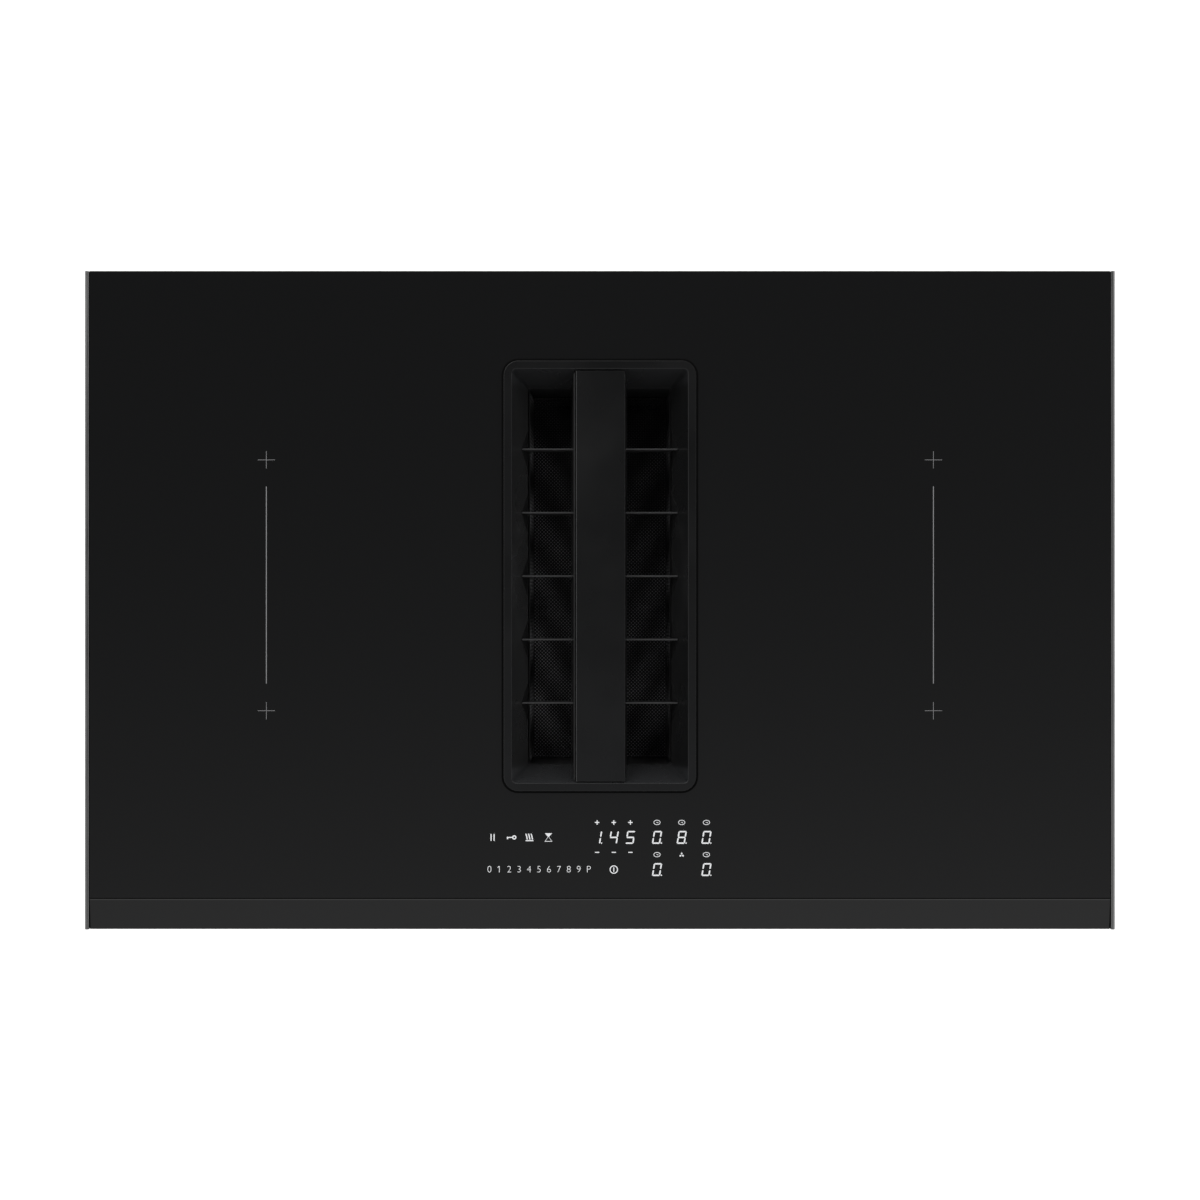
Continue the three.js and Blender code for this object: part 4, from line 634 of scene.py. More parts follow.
def make_finishes(colours, pitch):
    """All finishes of the object, by name."""
    along_y, all_ways = (2600.0, 16.0, 2600.0), (900.0, 900.0, 900.0)
    gasket = grained("Gasket Foam", colours.gasket, 0.9, 900.0, 0.02 * MM)
    pad = grained("Painted Fin Shadow", colours.pad, 0.7, **FINE_COAT)
    return {
        "glass": black_glass(colours),
        "marks": printed_grey(colours),
        "lit": lit_white(colours),
        "steel": brushed_metal("Trim Steel", colours.steel, along_y, 0.24),
        "coating": satin_coating(colours),
        "slopes": slope_coating(colours, "Satin Black Slopes", 0.05),
        # A copy of the slope coating with less sheen: painted shade that darkens the right slope.
        "painted_shade_right_slope": slope_coating(colours, "Satin Black Right Slope Shade", 0.02),
        "dark": grained("Dark Coating", colours.coating, 0.35, **FINE_COAT),
        "fins": grained("Satin Grey Coating", colours.fins, 0.3, **FINE_COAT),
        "painted_highlight_edge": grained("Painted Highlight Edge", colours.painted_highlight_edge, 0.25, **FINE_COAT),
        "gasket": set_gloss(gasket, 0.04),
        "pad": set_gloss(pad, 0.25),
        "mesh": brushed_metal("Filter Steel", colours.mesh, (400.0, 400.0, 400.0), 0.38),
        "weave": woven_wire(colours, pitch),
        "flank_weave": upright_wire(colours, pitch),
        "zinc": spangled_zinc(colours),
        "aluminium": brushed_metal("Aluminium", colours.aluminium, (1200.0, 20.0, 1200.0), 0.36),
        "copper": brushed_metal("Copper Wire", colours.copper, all_ways, 0.38),
        "plastic": grained("Black Plastic", colours.plastic, 0.48),
        "white_plastic": grained("White Plastic", colours.white_plastic, 0.5),
        "board": circuit_board(colours),
        "sleeve": grained("Capacitor Sleeve", colours.sleeve, 0.35, 1200.0, 0.01 * MM),
        "ferrite": grained("Ferrite", colours.ferrite, 0.6, 1400.0, 0.03 * MM),
        "brass": brushed_metal("Brass", colours.brass, all_ways),
        "screw": brushed_metal("Screw Steel", colours.zinc, all_ways),
        "ceramic": grained("Ceramic", colours.ceramic, 0.7, 900.0, 0.05 * MM),
        "rubber": grained("Rubber", colours.rubber, 0.75, 700.0, 0.06 * MM),
    }


FINISHES = {}


class Builder:
    """What the operators share: where their values come from, and finishes that are made once."""

    bl_options = {"REGISTER", "UNDO"}

    def execute(self, context):
        if not FINISHES:
            pitch = context.scene.cooktop_sizes.mesh_pitch
            FINISHES.update(make_finishes(context.scene.cooktop_colours, pitch))
        self.build(context.scene.cooktop_sizes, FINISHES)
        return {"FINISHED"}


# ---- Glass top ----


class COOKTOP_OT_glass(Builder, bpy.types.Operator):
    """Builds the glass plate with its facet, its ground edges and the hole for the vent"""

    bl_idname = "cooktop.glass"
    bl_label = "Glass Plate"

    overlap = 4.9 * MM
    cutout_corner = 8.6 * MM
    ground_angle = math.radians(60)
    ridge_drop = 0.3

    def build(self, sizes, finishes):
        low, high, centre = box("glass_top")
        rim_low, rim_high, rim = box("vent_frame_seal")
        bm = bmesh.new()
        outer = rounded_loop(bm, high.x, high.y, 0.0, high.z)
        half_x, half_y = rim_high.x - self.overlap, (rim_high.y - rim_low.y) / 2 - self.overlap
        inner = rounded_loop(bm, half_x, half_y, self.cutout_corner, high.z, (rim.x, rim.y), 8)
        filled = bmesh.ops.triangle_fill(bm, use_beauty=True, use_dissolve=True, edges=outer + inner)
        faces = [item for item in filled["geom"] if isinstance(item, bmesh.types.BMFace)]
        raise_faces(bm, faces, (0.0, 0.0, low.z - high.z))
        bevelled(bm, [edge for edge in bm.edges if self.is_ground(edge)], sizes.glass_edge, 2)
        profile = self.facet(sizes)
        for reach, _ in profile:
            cut(bm, (0.0, low.y + reach, 0.0), (0.0, 1.0, 0.0), near=NEAR / 10)
        for vert in bm.verts:
            if vert.co.z > centre.z:
                vert.co.z -= drop_at(profile, vert.co.y - low.y)
        piece(
            bm, "glass_plate", HOUSING, finishes["glass"],
            replaced=["glass_top"], sharp=3,
        )
        # A dark strip behind the facet: painted shade.
        bm = bmesh.new()
        line = low.y + sizes.facet_width + sizes.facet_shade_line / 2
        flat_bar(bm, (centre.x, line), high.x - low.x - 2 * sizes.glass_edge, sizes.facet_shade_line)
        print_piece(bm, "facet_shade_line", sizes, finishes["gasket"])

    def is_ground(self, edge):
        """Whether an edge runs round the glass or its hole, and not up or down."""
        if not edge.is_manifold or edge.calc_face_angle() < self.ground_angle:
            return False
        return abs(edge.verts[0].co.z - edge.verts[1].co.z) < NEAR

    def facet(self, sizes):
        """How far the glass has dropped at distances from its front edge."""
        width, ridge = sizes.facet_width, sizes.facet_ridge
        return (0.0, sizes.facet_drop), (width - ridge, ridge * self.ridge_drop), (width, 0.0)


def drop_at(profile, reach):
    """Straight between a profile's points."""
    for (start, start_drop), (end, end_drop) in zip(profile, profile[1:]):
        if reach <= end:
            return start_drop + (end_drop - start_drop) * max(reach - start, 0.0) / (end - start)
    return profile[-1][1]


class COOKTOP_OT_trims(Builder, bpy.types.Operator):
    """Builds the two steel side trims and the dark sealant between them and the glass"""

    bl_idname = "cooktop.trims"
    bl_label = "Side Trims"

    upright = 3.5 * MM
    crown = 1.6 * MM
    foot_reach = 7.4 * MM
    foot_thick = 0.8 * MM
    sealant_depth = 1.1 * MM
    sealant_reach = 0.5 * MM
    sealant_lap = 0.1 * MM

    def build(self, sizes, finishes):
        for name, side in SIDES:
            low, high, _ = box(f"side_trim_{name}")
            outer = max(abs(low.x), abs(high.x))
            inner = outer - self.upright
            bm = bmesh.new()
            block(bm, *between(side, inner, outer, low.y, high.y, low.z, high.z))
            bevelled(bm, [edge for edge in bm.edges if self.is_crown(edge, outer, high.z)], self.crown, 6)
            foot = (outer - self.foot_reach, inner, low.y, high.y, low.z, low.z + self.foot_thick)
            block(bm, *between(side, *foot))
            piece(
                bm, f"steel_trim_{name}", HOUSING, finishes["steel"],
                replaced=[f"side_trim_{name}"], edge=0.2 * MM, weld=False,
            )
            bm = bmesh.new()
            top = high.z - self.sealant_depth
            strip = (inner - self.sealant_reach, inner + self.sealant_lap, low.y + MM, high.y - MM)
            block(bm, *between(side, *strip, top - MM, top))
            piece(bm, f"trim_sealant_{name}", HOUSING, finishes["gasket"], edge=0.1 * MM)

    def is_crown(self, edge, outer, top):
        """Whether an edge runs along the outer top of the trim."""
        return all(abs(abs(vert.co.x) - outer) < NEAR and vert.co.z > top - NEAR for vert in edge.verts)


def between(side, x0, x1, y0, y1, z0, z1):
    """Two corners of a box, mirrored to the left for a side of -1."""
    return (min(side * x0, side * x1), y0, z0), (max(side * x0, side * x1), y1, z1)


# ---- Marks on the glass ----

ZONE_X = 263.3 * MM
ZONE_REAR = 110.8 * MM
ZONE_FRONT = -87.2 * MM
LINK_REAR = 89.8 * MM
LINK_FRONT = -65.7 * MM

ROW_PLUS = -175.4 * MM
ROW_FIGURE = -187.2 * MM
ROW_MINUS = -199.0 * MM
ROW_LOWER_CLOCK = -200.8 * MM
ROW_SLIDER = -212.6 * MM
TIMER_COLUMNS = (-2.2 * MM, 11.0 * MM, 24.1 * MM)
ZONE_COLUMNS = (45.1 * MM, 64.6 * MM, 84.1 * MM)
PAUSE_X = -84.7 * MM
LOCK_X = -69.9 * MM
WARM_X = -55.5 * MM
HOURGLASS_X = -40.6 * MM

# In millimetres: one stroke of heat, the hourglass's filled top and one of its legs, and how far the
# fan's blades stand off its middle.
HEAT = ((-1.35, 2.9), (-0.4, 2.9), (0.25, 0.9), (0.75, -1.7), (-0.2, -1.7), (-0.7, 0.8))
SAND = ((-2.9, 3.3), (2.9, 3.3), (1.9, 2.2), (0.35, 0.35), (-0.35, 0.35), (-1.9, 2.2))
LEG = ((0.15, 0.3), (0.5, 0.3), (2.75, -2.88), (2.35, -2.88))
BLADE_OUT = 1.15

# The strokes of each sign, in millimetres from its middle:
#     bar: x, y, length, width, turn in degrees, corner
#     ring: x, y, half width, half height, stroke, steps
#     shape: x, y, corner points
SIGNS = {
    "plus": (
        ("bar", 0.0, 0.0, 3.5, 0.8, 0.0, 0.0),
        ("bar", 0.0, -1.075, 1.35, 0.8, 90.0, 0.0),
        ("bar", 0.0, 1.075, 1.35, 0.8, 90.0, 0.0),
    ),
    "minus": (("bar", 0.0, 0.0, 3.4, 0.78, 0.0, 0.25),),
    "clock": (
        ("ring", 0.0, 0.0, 2.75, 2.0, 0.46, 32),
        ("bar", 0.2, 0.1, 1.5, 0.38, 0.0, 0.0),
        ("bar", 0.75, -0.36, 0.54, 0.36, 90.0, 0.0),
    ),
    "fan": tuple(
        (
            "bar",
            BLADE_OUT * math.cos(turn),
            BLADE_OUT * math.sin(turn) - 0.3,
            1.5,
            1.15,
            math.degrees(turn),
            0.45,
        )
        for turn in round_about(3, 90.0)
    ),
    "power": (
        ("ring", 0.0, 0.0, 3.3, 3.3, 0.75, 40),
        ("bar", 0.0, 0.0, 3.5, 0.78, 90.0, 0.0),
    ),
    "pause": (
        ("bar", -1.2, 0.0, 5.5, 0.85, 90.0, 0.25),
        ("bar", 1.2, 0.0, 5.5, 0.85, 90.0, 0.25),
    ),
    "lock": (
        ("ring", 2.3, 0.0, 1.7, 1.7, 0.95, 24),
        ("bar", -1.5, 0.0, 4.3, 0.85, 0.0, 0.3),
        ("bar", -3.0, -0.9, 0.95, 1.1, 90.0, 0.0),
    ),
    "keep_warm": (
        ("bar", 0.0, -2.55, 6.1, 0.85, 0.0, 0.0),
        ("shape", -2.05, 0.0, HEAT),
        ("shape", 0.0, 0.0, HEAT),
        ("shape", 2.05, 0.0, HEAT),
    ),
    "hourglass": (
        ("shape", 0.0, 0.0, SAND),
        ("bar", 0.0, -3.15, 5.8, 0.45, 0.0, 0.0),
        ("shape", 0.0, 0.0, tuple((-x, y) for x, y in LEG)),
        ("shape", 0.0, 0.0, LEG),
    ),
}

# The bars of a seven-bar figure: middle as shares of the figure's half width and half height, and
# whether the bar stands upright.
BARS = {
    "a": (0, 1, False),
    "b": (1, 0.5, True),
    "c": (1, -0.5, True),
    "d": (0, -1, False),
    "e": (-1, -0.5, True),
    "f": (-1, 0.5, True),
    "g": (0, 0, False),
}
FIGURE_BARS = {"0": "abcdef", "1": "bc", "4": "bcfg", "5": "acdfg", "8": "abcdefg"}
SLANT = math.tan(math.radians(9.5))
TIP_SHARE = 0.96

# Shares of a bar's width: an upright bar is shorter and stands off the middle, a level bar is longer,
# and the point stands out beside the foot.
UPRIGHT_SHORT = 0.1
UPRIGHT_OFF = 0.3
LEVEL_LONG = 0.5
POINT_OUT = 1.3
POINT_UP = 0.05
POINT_RADIUS = 0.5


def on_glass():
    """The height of the glass."""
    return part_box("glass_top")[1].z


def flat_bar(bm, centre, along, width, turn=0.0, pointed=False, corner=0.0):
    """A flat bar on the glass, with pointed or rounded ends if asked."""
    half = Vector((along / 2, width / 2))
    face = rounded_face(bm, half.x, half.y, 0.0, 0.0)
    verts = list(face.verts)
    if pointed:
        face = bevelled(bm, verts, half.y * TIP_SHARE, 1, "VERTICES")["verts"][0].link_faces[0]
    elif corner > 0.0:
        face = bevelled(bm, verts, corner, 3, "VERTICES")["verts"][0].link_faces[0]
    place = Matrix.Translation((centre[0], centre[1], on_glass())) @ Matrix.Rotation(turn, 4, "Z")
    bmesh.ops.transform(bm, matrix=place, verts=list(face.verts))
    return face


def flat_disc(bm, centre, radius, segments):
    """A flat disc on the glass."""
    place = Matrix.Translation((centre[0], centre[1], on_glass()))
    made = bmesh.ops.create_circle(bm, cap_ends=True, segments=segments, radius=radius, matrix=place)
    return made["verts"][0].link_faces[0]


def bar_stroke(bm, centre, along, width, turn, corner):
    """A bar of a sign, in millimetres and degrees."""
    flat_bar(bm, centre, along * MM, width * MM, math.radians(turn), corner=corner * MM)


def ring_stroke(bm, centre, half_x, half_y, stroke, segments):
    """An oval ring of a sign, in millimetres."""
    place = Matrix.Translation((centre[0], centre[1], on_glass()))
    edges = []
    for x, y in ((half_x, half_y), (half_x - stroke, half_y - stroke)):
        sized = place @ Matrix.Diagonal((x * MM, y * MM, 1.0, 1.0))
        verts = bmesh.ops.create_circle(bm, segments=segments, radius=1.0, matrix=sized)["verts"]
        edges.extend({edge for vert in verts for edge in vert.link_edges})
    bmesh.ops.bridge_loops(bm, edges=edges)


def shape_stroke(bm, centre, points):
    """A filled outline of a sign, from a few corner points in millimetres."""
    verts = [bm.verts.new((centre[0] + x * MM, centre[1] + y * MM, on_glass())) for x, y in points]
    bm.faces.new(verts)


STROKES = {"bar": bar_stroke, "ring": ring_stroke, "shape": shape_stroke}


def print_piece(bm, name, sizes, finish):
    """Raises flat marks by the height of the print and finishes them as one piece."""
    bmesh.ops.recalc_face_normals(bm, faces=bm.faces)
    downward = [face for face in bm.faces if face.normal.z < 0.0]
    bmesh.ops.reverse_faces(bm, faces=downward)
    raise_faces(bm, bm.faces[:], (0.0, 0.0, sizes.print_height))
    piece(bm, name, HOUSING, finish, weld=False)


def lean(bm, verts, middle):
    """Leans a figure to the right about its middle height."""
    shear = Matrix.Identity(4)
    shear[0][1] = SLANT
    place = Matrix.Translation(middle)
    bmesh.ops.transform(bm, matrix=place @ shear @ place.inverted(), verts=verts)


def display_figure(bm, sizes, figure, x, y, point=True):
    """One leaning seven-bar figure, with its point if it has one."""
    width = sizes.stroke
    half_x = (sizes.figure_width - width) / 2
    half_y = (sizes.figure_height - width) / 2
    verts = []
    for name in FIGURE_BARS[figure]:
        across, up, upright = BARS[name]
        if upright:
            along, off, turn = half_y - width * UPRIGHT_SHORT, width * UPRIGHT_OFF, math.pi / 2
        else:
            along, off, turn = 2 * half_x + width * LEVEL_LONG, 0.0, 0.0
        centre = (x + across * half_x, y + up * half_y + math.copysign(off, up))
        verts.extend(flat_bar(bm, centre, along, width, turn, pointed=True).verts)
    if point:
        centre = (x + half_x + width * POINT_OUT, y - half_y + width * POINT_UP)
        verts.extend(flat_disc(bm, centre, width * POINT_RADIUS, 12).verts)
    lean(bm, verts, (x, y, on_glass()))


class COOKTOP_OT_zone_marks(Builder, bpy.types.Operator):
    """Prints the cross of each cooking zone and the line that joins the zones of a side"""

    bl_idname = "cooktop.zone_marks"
    bl_label = "Zone Marks"

    def build(self, sizes, finishes):
        bm = bmesh.new()
        width, arm = sizes.cross_width, 2 * sizes.cross_arm
        reach = (arm - width) / 2
        link = LINK_REAR - LINK_FRONT
        for _, side in SIDES:
            x = side * ZONE_X
            for y in (ZONE_REAR, ZONE_FRONT):
                flat_bar(bm, (x, y), arm, width)
                for _, end in SIDES:
                    flat_bar(bm, (x, y + end * (width + reach) / 2), reach, width, math.pi / 2)
            flat_bar(bm, (x, LINK_REAR - link / 2), link, sizes.mark_width, math.pi / 2)
        print_piece(bm, "zone_marks", sizes, finishes["marks"])


class COOKTOP_OT_touch_signs(Builder, bpy.types.Operator):
    """Prints the touch signs: plus, minus, clocks, fan, power, pause, lock, keep warm and hourglass"""

    bl_idname = "cooktop.touch_signs"
    bl_label = "Touch Signs"

    def build(self, sizes, finishes):
        left, middle, right = ZONE_COLUMNS
        places = [("plus", x, ROW_PLUS) for x in TIMER_COLUMNS]
        places += [("minus", x, ROW_MINUS) for x in TIMER_COLUMNS]
        places += [("clock", x, ROW_PLUS) for x in ZONE_COLUMNS]
        places += [("clock", left, ROW_LOWER_CLOCK), ("clock", right, ROW_LOWER_CLOCK)]
        places += [("fan", middle, ROW_LOWER_CLOCK), ("power", TIMER_COLUMNS[1], ROW_SLIDER)]
        places += [("pause", PAUSE_X, ROW_FIGURE), ("lock", LOCK_X, ROW_FIGURE)]
        places += [("keep_warm", WARM_X, ROW_FIGURE), ("hourglass", HOURGLASS_X, ROW_FIGURE)]
        bm = bmesh.new()
        for sign, x, y in places:
            for form, across, up, *measures in SIGNS[sign]:
                STROKES[form](bm, (x + across * MM, y + up * MM), *measures)
        print_piece(bm, "touch_signs", sizes, finishes["lit"])


class COOKTOP_OT_display(Builder, bpy.types.Operator):
    """Lights the timer and the power level of each zone"""

    bl_idname = "cooktop.display"
    bl_label = "Display Figures"

    timer = "145"
    levels = "080"

    def build(self, sizes, finishes):
        bm = bmesh.new()
        for index, figure in enumerate(self.timer):
            display_figure(bm, sizes, figure, TIMER_COLUMNS[index], ROW_FIGURE, point=index == 0)
        for figure, x in zip(self.levels, ZONE_COLUMNS):
            display_figure(bm, sizes, figure, x, ROW_FIGURE)
        for x in (ZONE_COLUMNS[0], ZONE_COLUMNS[2]):
            display_figure(bm, sizes, "0", x, ROW_SLIDER)
        print_piece(bm, "display_figures", sizes, finishes["lit"])


class COOKTOP_OT_slider(Builder, bpy.types.Operator):
    """Prints the numbers of the power slider"""

    bl_idname = "cooktop.slider"
    bl_label = "Slider Numbers"

    labels = "0123456789P"
    start = -87.2 * MM
    pitch = 7.83 * MM
    font_scale = 1.36
    flag_long = 1.4 * MM
    flag_wide = 0.6 * MM
    flag_back = 0.75 * MM
    flag_rise = 0.36
    flag_turn = math.radians(42)

    def build(self, sizes, finishes):
        bm = bmesh.new()
        for index, label in enumerate(self.labels):
            x = self.start + index * self.pitch
            self.number(bm, sizes, label, x)
            if label == "1":
                self.flag(bm, sizes, x)
        piece(bm, "slider_numbers", HOUSING, finishes["lit"], weld=False)

    def number(self, bm, sizes, label, x):
        """One number, made from text and turned into a mesh before it is placed."""
        curve = bpy.data.curves.new(f"number_{label}", "FONT")
        curve.body = label
        curve.size = sizes.number_height * self.font_scale
        curve.align_x = "CENTER"
        curve.align_y = "CENTER"
        curve.extrude = sizes.print_height / 2
        curve.offset = -sizes.number_thinning
        text = bpy.data.objects.new(f"number_{label}", curve)
        bpy.context.scene.collection.objects.link(text)
        mesh = bpy.data.meshes.new_from_object(text.evaluated_get(bpy.context.evaluated_depsgraph_get()))
        mesh.transform(Matrix.Translation((x, ROW_SLIDER, on_glass() + sizes.print_height / 2)))
        bm.from_mesh(mesh)
        bpy.data.objects.remove(text)
        bpy.data.curves.remove(curve)
        bpy.data.meshes.remove(mesh)

    def flag(self, bm, sizes, x):
        """The short stroke that leads up to the top of the 1."""
        centre = (x - self.flag_back, ROW_SLIDER + sizes.number_height * self.flag_rise)
        face = flat_bar(bm, centre, self.flag_long, self.flag_wide, self.flag_turn)
        raise_faces(bm, [face], (0.0, 0.0, sizes.print_height))


# ---- Vent ----

LAND = 6.6 * MM
LAND_SHORT = 0.4 * MM
SLOPE_RUN = 11.4 * MM
SLOPE_DEPTH = 28 * MM
FRAME_CORNER = 11.5 * MM
OPENING_CORNER = 3.4 * MM
THROAT_CORNER = 2 * MM
FRAME_WALL = 2 * MM
FRAME_SEAT = 1.2 * MM
FLUSH = 0.05 * MM

BAR_WIDTH = 39.4 * MM
BAR_LEDGE = 0.7 * MM
BAR_TOP = 0.4 * MM
BAR_DEPTH = 33 * MM
BAR_DRAFT = 2.4 * MM
BAR_WALL = 2 * MM
BAR_END_GAP = 1.3 * MM
FIN_COUNT = 5
FIN_THICK = 1.3 * MM
FIN_TOP = 16 * MM
FIN_HEIGHT = 22.5 * MM
FIN_SEAT = 0.4 * MM
SHADOW_HALF = 15 * MM
SHADOW_HEIGHT = 13 * MM
SHADOW_THICK = 0.15 * MM
TRIANGLE_HALF = 0.866


def opening():
    """Half sizes of the vent's opening at its upper edge, and its middle."""
    low, high, centre = box("vent_frame")
    return (high.x - low.x) / 2 - LAND, (high.y - low.y) / 2 - LAND, centre


def slope_inset(depth):
    """How far the sloping walls have drawn in at a depth below the glass."""
    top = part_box("vent_frame")[1].z - on_glass()
    return SLOPE_RUN * min(max((depth + top) / (SLOPE_DEPTH + top), 0.0), 1.0)


class COOKTOP_OT_vent_frame(Builder, bpy.types.Operator):
    """Builds the vent frame and the gasket under it: raised rim, sloping walls and spigot"""

    bl_idname = "cooktop.vent_frame"
    bl_label = "Vent Frame"

    rim_height = 2 * MM
    slope_share = 0.2
    right_share = 0.6
    lip_out = 1.4 * MM
    lip_tuck = 1 * MM
    lip_drop = 0.2 * MM
    foot_out = 1.2 * MM
    foot_drop = 0.15 * MM

    def build(self, sizes, finishes):
        low, high, centre = box("vent_frame")
        x, y, _ = opening()
        glass = on_glass()
        seat, slope_end = glass + FRAME_SEAT, glass - SLOPE_DEPTH
        rim = (x + LAND - LAND_SHORT, y + LAND - LAND_SHORT)
        throat = (x - SLOPE_RUN, y - SLOPE_RUN)
        skirt = (throat[0] + FRAME_WALL, throat[1] + FRAME_WALL)
        bm = bmesh.new()
        loft(
            bm,
            [
                (*rim, FRAME_CORNER, seat),
                (*rim, FRAME_CORNER, high.z),
                (x, y, OPENING_CORNER, high.z - FLUSH),
                (*throat, THROAT_CORNER, slope_end),
                (*throat, THROAT_CORNER, low.z),
                (*skirt, THROAT_CORNER + FRAME_WALL, low.z + FLUSH),
                (*skirt, THROAT_CORNER + FRAME_WALL, slope_end),
                (x + FRAME_WALL, y + FRAME_WALL, OPENING_CORNER + FRAME_WALL, glass - MM),
                (x + FRAME_WALL, y + FRAME_WALL, OPENING_CORNER + FRAME_WALL, seat - FLUSH),
            ],
            centre=(centre.x, centre.y),
            steps=8,
        )
        made = piece(
            bm, "vent_surround", HOUSING, finishes["coating"],
            replaced=["vent_frame"], edge=sizes.rim_edge, steps=4,
        )
        made.data.materials.append(finishes["slopes"])
        made.data.materials.append(finishes["painted_shade_right_slope"])
        for face in made.data.polygons:
            if slope_end < face.center.z < high.z - self.rim_height and face.normal.z > self.slope_share:
                # The right slope takes the copy with less sheen, as painted shade.
                face.material_index = 2 if face.normal.x < -self.right_share else 1
        sharpen_right(made)
        self.gasket(finishes)

    def gasket(self, finishes):
        """A soft lip that shows round the rim: partly the real seal, partly painted shadow round the foot of
        the raised rim.
        """
        low, high, _ = box("vent_frame_seal")
        x, y, centre = opening()
        # The lip reaches out past the rim: real seal, widened to stand in for the shadow round the rim's
        # foot.
        lip = LAND + self.lip_out
        foot = FRAME_WALL + self.foot_out
        tuck = LAND - self.lip_tuck
        bm = bmesh.new()
        loft(
            bm,
            [
                (x + lip, y + lip, FRAME_CORNER + self.lip_out, low.z - self.lip_drop),
                (x + lip, y + lip, FRAME_CORNER + self.lip_out, low.z),
                (x + tuck, y + tuck, FRAME_CORNER - self.lip_tuck, high.z),
                (x + foot, y + foot, OPENING_CORNER + foot, high.z - FLUSH),
                (x + foot, y + foot, OPENING_CORNER + foot, low.z - self.foot_drop),
            ],
            centre=(centre.x, centre.y),
            steps=8,
        )
        piece(bm, "vent_gasket", HOUSING, finishes["gasket"], replaced=["vent_frame_seal"])


